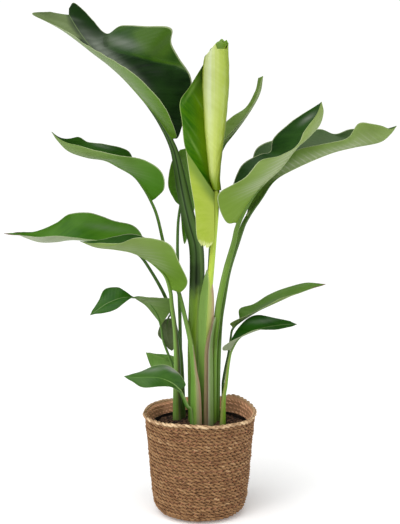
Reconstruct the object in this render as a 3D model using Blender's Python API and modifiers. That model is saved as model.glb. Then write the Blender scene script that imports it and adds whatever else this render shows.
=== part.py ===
"""Potted giant bird of paradise standing in a woven seagrass basket.

Metres, +Z up.  The origin is the middle of the basket's underside.  The plant's fan of leaves spreads
along X, and the viewer's side, which the blades' near halves turn to, is -Y.
"""
import math

import bmesh
import bpy
import numpy as np

MM = 0.001
GAP = 0.3 * MM                      # left between pieces that touch

# Basket: a turned, slightly flared bucket with a soft bottom edge and a braided rim
BASKET_WALL = 7 * MM
BASKET_OUTER = [(76, 0), (94, 9), (102, 22), (105, 40), (110, 88), (115, 154), (119.5, 195), (121.5, 217)]
RIM_RADIUS = 121 * MM               # middle of the braid, from the basket's axis
RIM_BRAID = 5.8 * MM                # half the braid's width
RIM_Z = 223.3 * MM

# Grow pot: a thin plastic pot that drops into the basket
POT_WALL = 2 * MM
POT_FLOOR = 8 * MM
POT_BOTTOM_RADIUS = 76 * MM
POT_TOP_RADIUS = 104 * MM
POT_TOP_Z = 201 * MM
POT_LIP = 4 * MM
DRAIN_HOLES = 4
DRAIN_RADIUS = 5 * MM
DRAIN_CIRCLE = 48 * MM

SOIL_Z = 197 * MM

# Leaf and stalk sections
BLADE = 1.6 * MM                    # thickness of a blade
MARGIN = 0.9 * MM                   # thickness at a blade's edge
KEEL = 2.2 * MM                     # how far the midrib stands below the blade
BULGE = 0.06                        # how far each half arches, as a part of its width
HALF_STEPS = 3                      # faces across each half of a blade
STALK_SIDES = 8
STALK_STEP = 45 * MM

GREEN = (0.045, 0.16, 0.02)
GREEN_DEEP = (0.02, 0.085, 0.015)
LIME = (0.32, 0.50, 0.06)
STALK_GREEN = (0.10, 0.24, 0.04)

# Each leaf in millimetres (x, y, z): the blade's midrib, its near and its far edge, from the stalk to
# the tip, then the stalk's path up from the soil and its half-widths (across, deep) along that path.
LEAVES = {
    "top_left": {
        "mid": [(-60, 0, 825), (-97, -4, 882), (-158, -10, 952), (-216, -14, 1004), (-249, -18, 1043),
                (-276, -20, 1086)],
        "near": [(-51, -20, 837), (-75, -75, 896), (-122, -100, 947), (-180, -95, 988), (-230, -80, 1017),
                 (-290, -60, 1054), (-350, -40, 1085), (-314, -30, 1091)],
        "far": [(-44, 25, 838), (-22, 50, 924), (-22, 60, 968), (-62, 65, 1033), (-64, 65, 1070),
                (-118, 60, 1075), (-173, 55, 1075), (-204, 40, 1056), (-230, 20, 1081), (-265, 0, 1113),
                (-276, -15, 1101)],
        "stalk": [(-11, 7, 0), (-11, 7, 295), (-10, 4, 386), (-7, 0, 476), (-7, 0, 586), (-20, 0, 639),
                  (-33, 0, 696), (-48, 0, 771), (-60, 0, 825)],
        "widths": [(11, 9), (13, 9), (15, 9), (16, 10), (17, 10), (16, 9), (15, 9), (12, 8), (7, 5)],
        "side": -1, "colour": GREEN_DEEP, "steps": 16},
    "right_front": {
        "mid": [(80, -8, 646), (108, -14, 696), (135, -20, 731), (171, -28, 765), (200, -34, 803),
                (220, -38, 824), (249, -40, 852), (259, -40, 881), (255, -40, 904)],
        "near": [(56, -30, 650), (38, -48, 692), (44, -60, 717), (94, -72, 745), (125, -75, 781),
                 (167, -72, 791), (205, -66, 814), (218, -58, 841), (244, -50, 876)],
        "far": [(83, 15, 662), (70, 30, 716), (90, 40, 766), (130, 42, 793), (154, 40, 801),
                (162, 36, 832), (204, 20, 868), (250, -15, 899)],
        "stalk": [(29, -8, 0), (30, -8, 271), (31, -8, 361), (37, -8, 431), (43, -8, 477), (57, -8, 543),
                  (75, -8, 609), (80, -8, 646)],
        "widths": [(9, 8), (8, 8), (7, 7), (7, 7), (7, 7), (7, 6), (6.5, 6), (5, 4)],
        "side": 1, "colour": GREEN_DEEP, "steps": 14},
    "right_back": {
        "mid": [(102, 24, 659), (133, 32, 698), (163, 38, 738), (216, 42, 768), (286, 42, 797),
                (337, 40, 810), (393, 36, 821), (416, 34, 838), (429, 32, 856)],
        "near": [(120, 50, 715), (159, 48, 771), (212, 30, 803), (263, 12, 816), (317, 0, 829),
                 (342, 0, 861), (387, 10, 857), (416, 24, 847)],
        "far": [(122, 74, 740), (120, 91, 790), (141, 95, 817), (202, 90, 834), (264, 80, 850),
                (301, 70, 839), (337, 60, 850), (397, 48, 847)],
        "stalk": [(36, 11, 0), (38, 10, 267), (40, 10, 358), (44, 12, 427), (51, 14, 474), (63, 16, 540),
                  (84, 20, 606), (102, 24, 659)],
        "widths": [(9, 8), (8, 7), (7, 7), (7, 7), (7, 7), (6.5, 6), (6, 6), (5, 4)],
        "side": 1, "colour": GREEN, "steps": 14},
    "back_right": {
        "mid": [(49, 62, 812), (84, 66, 852), (115, 70, 896), (133, 70, 931), (139, 70, 966)],
        "near": [(57, 50, 830), (88, 50, 865), (117, 55, 906), (130, 58, 939), (137, 64, 961)],
        "far": [(49, 75, 852), (71, 80, 877), (103, 82, 899), (122, 80, 932), (129, 76, 962)],
        "stalk": [(12, 17, 0), (13, 18, 383), (22, 30, 561), (31, 50, 737), (49, 62, 812)],
        "widths": [(6, 6), (5, 5), (4.5, 4.5), (4, 4), (3, 3)],
        "side": 1, "colour": GREEN, "steps": 9},
    "left_upper": {
        "mid": [(-104, -5, 694), (-121, -8, 722), (-142, -10, 748), (-174, -12, 767), (-204, -14, 782),
                (-242, -16, 788), (-280, -18, 801), (-303, -20, 823), (-316, -20, 842)],
        "near": [(-92, -25, 703), (-76, -45, 723), (-82, -58, 757), (-117, -62, 782), (-168, -58, 791),
                 (-217, -50, 801), (-263, -40, 814), (-289, -28, 820)],
        "far": [(-118, 10, 717), (-140, 25, 769), (-160, 30, 803), (-214, 30, 817), (-245, 25, 821),
                (-265, 18, 832), (-289, 0, 823)],
        "stalk": [(-8, -24, 0), (-9, -24, 225), (-11, -23, 290), (-15, -20, 345), (-22, -14, 392),
                  (-31, -8, 431), (-46, 0, 491), (-64, 8, 541), (-79, 6, 597), (-91, 0, 652), (-104, -5, 694)],
        "widths": [(10, 7), (10, 7), (10, 7), (10, 6.5), (8, 6), (6, 5), (5, 5), (4.5, 4.5), (4, 4), (3.5, 4),
                   (3, 3)],
        "side": -1, "colour": GREEN, "steps": 14},
    "left_long": {
        "mid": [(-146, 26, 584), (-177, 28, 590), (-226, 28, 599), (-276, 26, 608), (-318, 22, 603),
                (-352, 18, 603), (-378, 14, 611), (-405, 10, 622), (-429, 8, 622)],
        "near": [(-154, 10, 596), (-196, 0, 604), (-239, -8, 609), (-299, -14, 618), (-359, -8, 617),
                 (-393, 2, 620)],
        "far": [(-127, 50, 604), (-148, 66, 634), (-198, 72, 647), (-248, 72, 663), (-292, 66, 661),
                (-321, 52, 642), (-363, 32, 625), (-404, 14, 624)],
        "stalk": [(-34, 40, 0), (-41, 45, 309), (-54, 50, 400), (-79, 48, 478), (-122, 36, 556),
                  (-146, 26, 584)],
        "widths": [(7, 7), (6, 6), (5, 5), (4.5, 4.5), (4, 4), (3, 3)],
        "side": -1, "colour": GREEN, "steps": 14},
    "left_front": {
        "mid": [(-63, -18, 501), (-74, -24, 532), (-93, -30, 553), (-116, -36, 571), (-146, -42, 586),
                (-182, -46, 593), (-222, -50, 598), (-255, -52, 611)],
        "near": [(-41, -28, 498), (-26, -40, 523), (-42, -62, 563), (-61, -78, 603), (-94, -86, 618),
                 (-136, -86, 620), (-172, -78, 609), (-216, -66, 608)],
        "far": [(-87, -6, 561), (-114, 6, 608), (-147, 8, 621), (-183, 0, 617), (-216, -18, 610),
                (-240, -36, 609)],
        "stalk": [(-46, 22, 0), (-51, 22, 268), (-51, 16, 334), (-55, 6, 408), (-62, -8, 470),
                  (-63, -18, 501)],
        "widths": [(12, 8), (12, 8), (11, 8), (8, 7), (5, 5), (4, 4)],
        "side": -1, "colour": GREEN, "steps": 14},
    "left_twisted": {
        "mid": [(-87, 32, 414), (-96, 34, 439), (-112, 34, 462), (-127, 34, 471), (-147, 32, 476),
                (-174, 30, 476), (-205, 28, 465), (-225, 26, 452), (-245, 24, 438)],
        "near": [(-76, 26, 431), (-64, 22, 452), (-64, 20, 475), (-107, 22, 477), (-147, 28, 478),
                 (-186, 18, 453), (-213, 18, 444), (-236, 22, 441)],
        "far": [(-99, 40, 429), (-121, 42, 456), (-143, 38, 472), (-170, 40, 492), (-186, 42, 499),
                (-213, 42, 494), (-226, 36, 470), (-241, 28, 447)],
        "stalk": [(-42, 50, 0), (-46, 50, 235), (-60, 43, 309), (-70, 40, 342), (-83, 36, 380), (-87, 32, 414)],
        "widths": [(4, 4), (4, 4), (3.5, 3.5), (3, 3), (3, 3), (2.5, 2.5)],
        "side": -1, "colour": GREEN, "steps": 12},
    "low_front_left": {
        "mid": [(-44, -44, 285), (-61, -50, 302), (-86, -56, 314), (-116, -60, 317), (-142, -60, 317),
                (-164, -58, 319)],
        "near": [(-39, -52, 280), (-60, -66, 297), (-90, -78, 300), (-124, -78, 300), (-148, -68, 311)],
        "far": [(-31, -36, 296), (-48, -34, 322), (-70, -36, 338), (-96, -40, 339), (-126, -48, 328),
                (-147, -54, 323)],
        "stalk": [(-15, -36, 0), (-18, -36, 216), (-28, -40, 248), (-44, -44, 285)],
        "widths": [(3.5, 3.5), (5, 3.5), (4.5, 3), (3.5, 2.5)],
        "side": -1, "colour": GREEN_DEEP, "steps": 10},
    "low_back_left": {
        "mid": [(-55, 56, 319), (-79, 56, 331), (-105, 56, 342), (-123, 56, 347)],
        "near": [(-59, 49, 307), (-86, 47, 308), (-109, 48, 314), (-118, 52, 332)],
        "far": [(-59, 62, 336), (-82, 64, 341), (-101, 62, 343), (-114, 59, 346)],
        "stalk": [(-50, 64, 0), (-52, 62, 260), (-54, 58, 315)],
        "widths": [(3, 3), (2.5, 2.5), (2.5, 2.5)],
        "side": -1, "colour": GREEN, "steps": 8},
    "right_small_upper": {
        "mid": [(71, 10, 414), (100, 12, 434), (140, 14, 456), (179, 16, 473), (217, 16, 491),
                (250, 14, 505), (278, 12, 510)],
        "near": [(68, 0, 425), (103, -4, 443), (138, -6, 459), (178, -4, 479), (215, 0, 489), (251, 6, 504)],
        "far": [(87, 26, 427), (89, 34, 450), (123, 40, 461), (157, 40, 483), (196, 34, 500),
                (233, 24, 511), (261, 16, 511)],
        "stalk": [(52, 8, 0), (51, 8, 254), (53, 8, 301), (64, 10, 358), (71, 10, 414)],
        "widths": [(5, 5), (4, 4), (3.5, 3.5), (3, 3), (2.5, 2.5)],
        "side": 1, "colour": GREEN, "steps": 12},
    "right_small_lower": {
        "mid": [(68, -20, 368), (83, -22, 393), (103, -24, 407), (135, -26, 418), (176, -26, 425),
                (211, -26, 427)],
        "near": [(50, -30, 370), (52, -40, 383), (82, -48, 403), (120, -52, 420), (162, -46, 418),
                 (191, -36, 422)],
        "far": [(66, -4, 383), (80, 6, 408), (106, 10, 432), (133, 8, 441), (169, -4, 437), (197, -16, 432)],
        "stalk": [(47, -25, 0), (51, -25, 235), (57, -24, 291), (62, -22, 333), (68, -20, 368)],
        "widths": [(9, 6), (9, 6), (7.5, 6), (4, 4), (2.5, 2.5)],
        "side": 1, "colour": GREEN_DEEP, "steps": 12},
    "hanging_small": {
        "mid": [(-72, 58, 426), (-75, 58, 407), (-75, 58, 384), (-70, 58, 366), (-64, 58, 350)],
        "near": [(-86, 52, 418), (-95, 50, 391), (-84, 52, 374), (-73, 55, 357)],
        "far": [(-59, 62, 421), (-52, 64, 397), (-52, 62, 374), (-57, 60, 356)],
        "stalk": [(-56, 56, 0), (-54, 71, 280), (-57, 76, 400), (-66, 70, 432), (-71, 61, 429)],
        "widths": [(3, 3), (3, 3), (2.5, 2.5), (2, 2), (2, 2)],
        "side": 1, "colour": STALK_GREEN, "steps": 8},
    "back_left": {
        "mid": [(-45, 70, 679), (-43, 76, 714), (-38, 84, 754), (-34, 90, 786), (-29, 95, 808)],
        "near": [(-58, 60, 693), (-71, 56, 722), (-71, 60, 746), (-63, 68, 777), (-45, 84, 804)],
        "far": [(-36, 84, 592), (-23, 95, 634), (-9, 100, 691), (-7, 102, 747), (-16, 100, 792)],
        "stalk": [(-40, 57, 0), (-45, 62, 399), (-50, 62, 546), (-50, 62, 620), (-47, 66, 668)],
        "widths": [(5, 5), (4.5, 4.5), (4, 4), (4, 4), (3, 3)],
        "side": 1, "colour": GREEN, "steps": 10},
}

# The youngest leaf: a tall roll, tapering down to its stalk, whose left side has begun to open
ROLL_PATH = [(36, -30, 718), (31, -33, 745), (30, -34, 790), (31, -35, 850), (32, -35, 915), (32.5, -35, 981),
             (33, -35, 1014), (34, -35, 1024)]
ROLL_RADII = [8, 12.5, 17.5, 22.5, 25.5, 28.5, 28, 25]
OPEN_BLADE_IN = [(22, -36, 985), (20, -36, 904), (22, -36, 830), (25, -34, 760), (32, -34, 726)]
OPEN_BLADE_OUT = [(6, -40, 980), (-22, -44, 935), (-42, -47, 904), (-38, -51, 862), (-30, -52, 803),
                  (0, -48, 752), (27, -42, 708)]
FLAP_LEFT = [(-30, -52, 803), (-21, -54, 740), (-11, -54, 677), (-7, -53, 620), (2, -52, 598)]
FLAP_RIGHT = [(31, -42, 712), (30, -45, 675), (30, -48, 640), (29, -50, 612), (24, -52, 600)]
NEW_STALK = [(5, -8, 0), (6, -8, 264), (7, -10, 344), (11, -12, 422), (20, -18, 501), (28, -24, 589),
             (34, -28, 665), (36, -30, 718)]
NEW_STALK_WIDTHS = [(8, 7), (8, 7), (8, 7), (8, 7), (8, 7), (7, 6), (6, 6), (6, 6)]

# The dry papery sheath that wraps the front of the right-hand stalks
SHEATH_MID = [(19, -30, 0), (18, -30, 303), (20, -28, 381), (32, -20, 442)]
SHEATH_NEAR = [(6, -26, 0), (9, -26, 303), (12, -25, 381), (30, -20, 440)]
SHEATH_FAR = [(31, -26, 0), (29, -26, 303), (28, -24, 381), (35, -19, 440)]


def clear_scene():
    for item in list(bpy.data.objects):
        bpy.data.objects.remove(item, do_unlink=True)


def new_collection(name):
    group = bpy.data.collections.new(name)
    bpy.context.scene.collection.children.link(group)
    return group


def material(name, colour, roughness, metallic=0.0):
    mat = bpy.data.materials.new(name)
    mat.use_nodes = True
    shader = mat.node_tree.nodes["Principled BSDF"]
    shader.inputs["Base Color"].default_value = (*colour, 1.0)
    shader.inputs["Roughness"].default_value = roughness
    shader.inputs["Metallic"].default_value = metallic
    return mat


def unit(vector):
    return vector / max(np.linalg.norm(vector), 1e-9)


def smooth_line(points, count):
    """A smooth curve through points given in millimetres: count places at even spacing, in metres."""
    pts = np.array(points, float) * MM
    pts = np.vstack([2 * pts[0] - pts[1], pts, 2 * pts[-1] - pts[-2]])
    dense = []
    for a, b, c, d in zip(pts[:-3], pts[1:-2], pts[2:-1], pts[3:]):
        for t in np.linspace(0, 1, 24, endpoint=False):
            dense.append(0.5 * (2 * b + (c - a) * t + (2 * a - 5 * b + 4 * c - d) * t ** 2
                                + (3 * b - a - 3 * c + d) * t ** 3))
    dense.append(pts[-2])
    dense = np.array(dense)
    run = np.concatenate([[0], np.cumsum(np.linalg.norm(np.diff(dense, axis=0), axis=1))])
    places = np.linspace(0, run[-1], count)
    return np.stack([np.interp(places, run, dense[:, k]) for k in range(3)], axis=1)


def tangents(line):
    return np.array([unit(v) for v in np.gradient(line, axis=0)])


def make_object(name, bm, mat, group, smooth_angle=35):
    bmesh.ops.recalc_face_normals(bm, faces=bm.faces[:])
    mesh = bpy.data.meshes.new(name)
    bm.to_mesh(mesh)
    bm.free()
    item = bpy.data.objects.new(name, mesh)
    group.objects.link(item)
    mesh.materials.append(mat)
    mesh.shade_smooth()
    mesh.set_sharp_from_angle(angle=math.radians(smooth_angle))
    return item


def skin_rings(bm, rings, strip_caps):
    """Faces between equal closed rings.  strip_caps closes a flat, folded ring pair by pair."""
    rows = [[bm.verts.new(tuple(p)) for p in ring] for ring in rings]
    size = len(rows[0])
    for low, high in zip(rows[:-1], rows[1:]):
        for j in range(size):
            k = (j + 1) % size
            bm.faces.new((low[j], low[k], high[k], high[j]))
    for end in (rows[0], rows[-1]):
        if strip_caps:
            for j in range(size // 2 - 1):
                bm.faces.new((end[j], end[j + 1], end[size - 2 - j], end[size - 1 - j]))
        else:
            bm.faces.new(end)


def half_section(mid, edge, upward, steps):
    """Places across one half of a blade, from the midrib to its edge, arched to the underside."""
    width = np.linalg.norm(edge - mid)
    places = []
    for s in np.linspace(0, 1, steps + 1):
        places.append(mid + (edge - mid) * s - upward * BULGE * width * 4 * s * (1 - s))
    return places


def blade_rings(leaf):
    count = leaf["steps"] + 1
    mid = smooth_line(leaf["mid"], count)
    near = smooth_line(leaf["near"], count)
    far = smooth_line(leaf["far"], count)
    along = tangents(mid)
    rings = []
    for m, n, f, t in zip(mid, near, far, along):
        up_near = unit(np.cross(n - m, t)) * leaf["side"]
        up_far = unit(np.cross(t, f - m)) * leaf["side"]
        up_mid = unit(up_near + up_far)
        places = half_section(m, n, up_near, HALF_STEPS)[::-1] + half_section(m, f, up_far, HALF_STEPS)[1:]
        ups = [up_near] * HALF_STEPS + [up_mid] + [up_far] * HALF_STEPS
        halves = [(MARGIN if j in (0, len(ups) - 1) else BLADE) / 2 for j in range(len(ups))]
        top = [p + u * h for p, u, h in zip(places, ups, halves)]
        low = [p - u * (h + (KEEL if j == HALF_STEPS else 0))
               for j, (p, u, h) in enumerate(zip(places, ups, halves))]
        rings.append(top + low[::-1])
    return rings


def add_blade(name, leaf, group):
    bm = bmesh.new()
    skin_rings(bm, blade_rings(leaf), strip_caps=True)
    return make_object(name, bm, material(name, leaf["colour"], 0.35), group)


def stalk_rings(path, widths, top_trim, sides):
    length = sum(np.linalg.norm(np.diff(np.array(path, float) * MM, axis=0), axis=1))
    count = max(5, int(length / STALK_STEP) + 2)
    dense = smooth_line(path, 12 * count)
    run = np.concatenate([[0], np.cumsum(np.linalg.norm(np.diff(dense, axis=0), axis=1))])
    knots = np.linspace(0, run[-1], len(widths))
    foot = np.interp(SOIL_Z + GAP, dense[:, 2], run)
    places = np.linspace(foot, run[-1] - top_trim, count)
    line = np.stack([np.interp(places, run, dense[:, k]) for k in range(3)], axis=1)
    along = tangents(line)
    along[0] = (0, 0, 1)
    rings = []
    for place, centre, t in zip(places, line, along):
        across = unit(np.cross(t, (0, 1, 0)))
        deep = unit(np.cross(across, t))
        wide = np.interp(place, knots, [w[0] for w in widths]) * MM
        thick = np.interp(place, knots, [w[1] for w in widths]) * MM
        turn = np.linspace(0, 2 * math.pi, sides, endpoint=False)
        rings.append([centre + across * wide * math.cos(a) + deep * thick * math.sin(a) for a in turn])
    return rings


def add_stalk(name, path, widths, group, top_trim=3.5 * MM):
    bm = bmesh.new()
    skin_rings(bm, stalk_rings(path, widths, top_trim, STALK_SIDES), strip_caps=False)
    return make_object(name, bm, material(name, STALK_GREEN, 0.5), group)


def sheet_rings(left, right, count, arch):
    """A thin curved sheet between two lines, arched towards the viewer's side by arch metres."""
    rings = []
    for a, b in zip(smooth_line(left, count), smooth_line(right, count)):
        line = [a + (b - a) * s - np.array((0, arch * 4 * s * (1 - s), 0)) for s in np.linspace(0, 1, 5)]
        off = np.array((0, BLADE / 2, 0))
        rings.append([p - off for p in line] + [p + off for p in line[::-1]])
    return rings


def join_to(item, other):
    joint = item.modifiers.new("join_" + other.name, "BOOLEAN")
    joint.operation = "UNION"
    joint.solver = "EXACT"
    joint.object = other


def add_new_leaf(group, tools):
    """The roll, joined to its opened side and to the flap that hangs below it."""
    name = "leaf_new_rolled"
    path = smooth_line(ROLL_PATH, 12)
    knots = np.linspace(0, 1, len(ROLL_RADII))
    bm = bmesh.new()
    rings = []
    for part, centre in zip(np.linspace(0, 1, len(path)), path):
        radius = np.interp(part, knots, ROLL_RADII) * MM
        slope = 0.35 * part ** 8         # the mouth of the roll is cut higher on its right
        turn = np.linspace(0, 2 * math.pi, 16, endpoint=False)
        rings.append([centre + radius * np.array((math.cos(a), math.sin(a), slope * math.cos(a)))
                      for a in turn])
    skin_rings(bm, rings, strip_caps=False)
    roll = make_object(name, bm, material(name, LIME, 0.4), group)
    for part, left, right in (("open", OPEN_BLADE_OUT, OPEN_BLADE_IN), ("flap", FLAP_LEFT, FLAP_RIGHT)):
        bm = bmesh.new()
        skin_rings(bm, sheet_rings(left, right, 9, 3 * MM), strip_caps=True)
        sheet = make_object(name + "_" + part, bm, roll.active_material, tools)
        sheet.hide_render = True
        sheet.display_type = "WIRE"
        join_to(roll, sheet)
    return roll


def add_sheath(group):
    bm = bmesh.new()
    count = 10
    rings = []
    lines = [smooth_line(points, count) for points in (SHEATH_NEAR, SHEATH_MID, SHEATH_FAR)]
    off = np.array((0, BLADE / 2, 0))
    for near, mid, far in zip(*lines):
        line = [near, (near + mid) / 2 - off, mid, (mid + far) / 2 - off, far]
        rings.append([p - off for p in line] + [p + off for p in line[::-1]])
    rings = [ring for ring in rings if min(p[2] for p in ring) > SOIL_Z + GAP]
    foot = [np.array((p[0], p[1], SOIL_Z + GAP)) for p in rings[0]]
    skin_rings(bm, [foot] + rings, strip_caps=True)
    return make_object("stem_sheath", bm, material("stem_sheath", (0.32, 0.25, 0.16), 0.7), group)


def turned(name, outline, mat, group, steps=40):
    """A solid turned about Z from an outline (radius, height) that runs down its outer side."""
    bm = bmesh.new()
    verts = [bm.verts.new((r, 0, z)) for r, z in outline]
    for a, b in zip(verts[:-1], verts[1:]):
        bm.edges.new((a, b))
    mesh = bpy.data.meshes.new(name)
    bm.to_mesh(mesh)
    bm.free()
    item = bpy.data.objects.new(name, mesh)
    group.objects.link(item)
    mesh.materials.append(mat)
    screw = item.modifiers.new("turn", "SCREW")
    screw.axis = "Z"
    screw.steps = steps
    screw.render_steps = steps
    screw.use_merge_vertices = True
    screw.merge_threshold = 0.00005
    return item


def inner_radius(z):
    """The basket's inner radius at a height."""
    heights = [h * MM for _, h in BASKET_OUTER]
    radii = [r * MM for r, _ in BASKET_OUTER]
    return float(np.interp(z, heights, radii)) - BASKET_WALL


def add_basket(group):
    outer = [(r * MM, z * MM) for r, z in reversed(BASKET_OUTER)]
    levels = [z * MM for _, z in BASKET_OUTER if z * MM > 2 * BASKET_WALL]
    inner = [(inner_radius(z), z) for z in levels]
    floor = [(0, BASKET_WALL), (inner_radius(2 * BASKET_WALL) - 6 * MM, BASKET_WALL)]
    outline = floor + inner + outer + [(0, 0)]
    return turned("basket", outline, material("basket", (0.33, 0.2, 0.1), 0.9), group)


def add_rim(group):
    bpy.ops.mesh.primitive_torus_add(major_segments=40, minor_segments=8, major_radius=RIM_RADIUS,
                                     minor_radius=RIM_BRAID - GAP, location=(0, 0, RIM_Z + GAP / 2))
    rim = bpy.context.object
    rim.name = "basket_rim"
    rim.data.name = "basket_rim"
    rim.data.materials.append(material("basket_rim", (0.55, 0.4, 0.22), 0.85))
    rim.data.shade_smooth()
    for holder in list(rim.users_collection):
        holder.objects.unlink(rim)
    group.objects.link(rim)
    return rim


def pot_inner(z):
    slope = (POT_TOP_RADIUS - POT_BOTTOM_RADIUS) / (POT_TOP_Z - POT_FLOOR)
    return POT_BOTTOM_RADIUS - POT_WALL + slope * (z - POT_FLOOR)


def add_pot(group, tools):
    low = BASKET_WALL + GAP
    outline = [(0, low + POT_WALL), (pot_inner(low + POT_WALL), low + POT_WALL),
               (pot_inner(POT_TOP_Z), POT_TOP_Z), (POT_TOP_RADIUS + POT_LIP, POT_TOP_Z),
               (POT_TOP_RADIUS + POT_LIP, POT_TOP_Z - 8 * MM), (POT_TOP_RADIUS - 1 * MM, POT_TOP_Z - 8 * MM),
               (POT_BOTTOM_RADIUS, low), (0, low)]
    pot = turned("grow_pot", outline, material("grow_pot", (0.02, 0.02, 0.02), 0.55), group, steps=32)
    for k in range(DRAIN_HOLES):
        angle = 2 * math.pi * (k + 0.5) / DRAIN_HOLES
        bpy.ops.mesh.primitive_cylinder_add(
            vertices=12, radius=DRAIN_RADIUS, depth=4 * POT_WALL,
            location=(DRAIN_CIRCLE * math.cos(angle), DRAIN_CIRCLE * math.sin(angle), low + POT_WALL / 2))
        drill = bpy.context.object
        drill.name = "drain_cutter_%d" % k
        drill.hide_render = True
        drill.display_type = "WIRE"
        for holder in list(drill.users_collection):
            holder.objects.unlink(drill)
        tools.objects.link(drill)
        cut = pot.modifiers.new("drain_%d" % k, "BOOLEAN")
        cut.operation = "DIFFERENCE"
        cut.solver = "EXACT"
        cut.object = drill
    return pot


def add_soil(group):
    low = BASKET_WALL + POT_WALL + 2 * GAP
    outline = [(0, SOIL_Z), (pot_inner(SOIL_Z) - GAP, SOIL_Z), (pot_inner(low) - GAP, low), (0, low)]
    return turned("soil", outline, material("soil", (0.02, 0.013, 0.01), 0.95), group, steps=32)


def main():
    clear_scene()
    group = new_collection("potted_bird_of_paradise")
    tools = new_collection("cutters")
    add_basket(group)
    add_rim(group)
    add_pot(group, tools)
    add_soil(group)
    for name, leaf in LEAVES.items():
        add_blade("leaf_" + name, leaf, group)
        add_stalk("stalk_" + name, leaf["stalk"], leaf["widths"], group)
    add_new_leaf(group, tools)
    add_stalk("stalk_new_rolled", NEW_STALK, NEW_STALK_WIDTHS, group, top_trim=1 * MM)
    add_sheath(group)


main()
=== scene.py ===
"""Looks of the potted bird of paradise: leaves with pleated blades and fleshy midribs, channelled stalks,
a basket of twisted seagrass cords with a pale braided rim, and potting soil with bark pieces."""
import math

import bmesh
import bpy
import numpy as np
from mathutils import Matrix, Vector


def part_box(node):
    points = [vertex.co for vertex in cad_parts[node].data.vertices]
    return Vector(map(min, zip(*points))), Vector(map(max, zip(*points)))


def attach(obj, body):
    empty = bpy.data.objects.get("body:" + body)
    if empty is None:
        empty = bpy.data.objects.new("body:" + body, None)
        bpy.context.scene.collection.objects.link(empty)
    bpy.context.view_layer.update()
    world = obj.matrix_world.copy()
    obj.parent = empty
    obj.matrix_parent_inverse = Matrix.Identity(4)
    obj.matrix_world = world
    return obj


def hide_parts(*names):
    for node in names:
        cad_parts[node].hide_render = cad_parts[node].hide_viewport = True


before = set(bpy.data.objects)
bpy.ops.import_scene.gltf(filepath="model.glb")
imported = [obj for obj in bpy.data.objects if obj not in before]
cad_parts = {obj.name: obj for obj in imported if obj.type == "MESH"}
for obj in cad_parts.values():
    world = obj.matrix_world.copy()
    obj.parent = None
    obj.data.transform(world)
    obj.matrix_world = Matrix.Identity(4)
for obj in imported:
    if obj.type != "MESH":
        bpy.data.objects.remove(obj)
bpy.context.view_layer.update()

MM = 0.001

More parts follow.
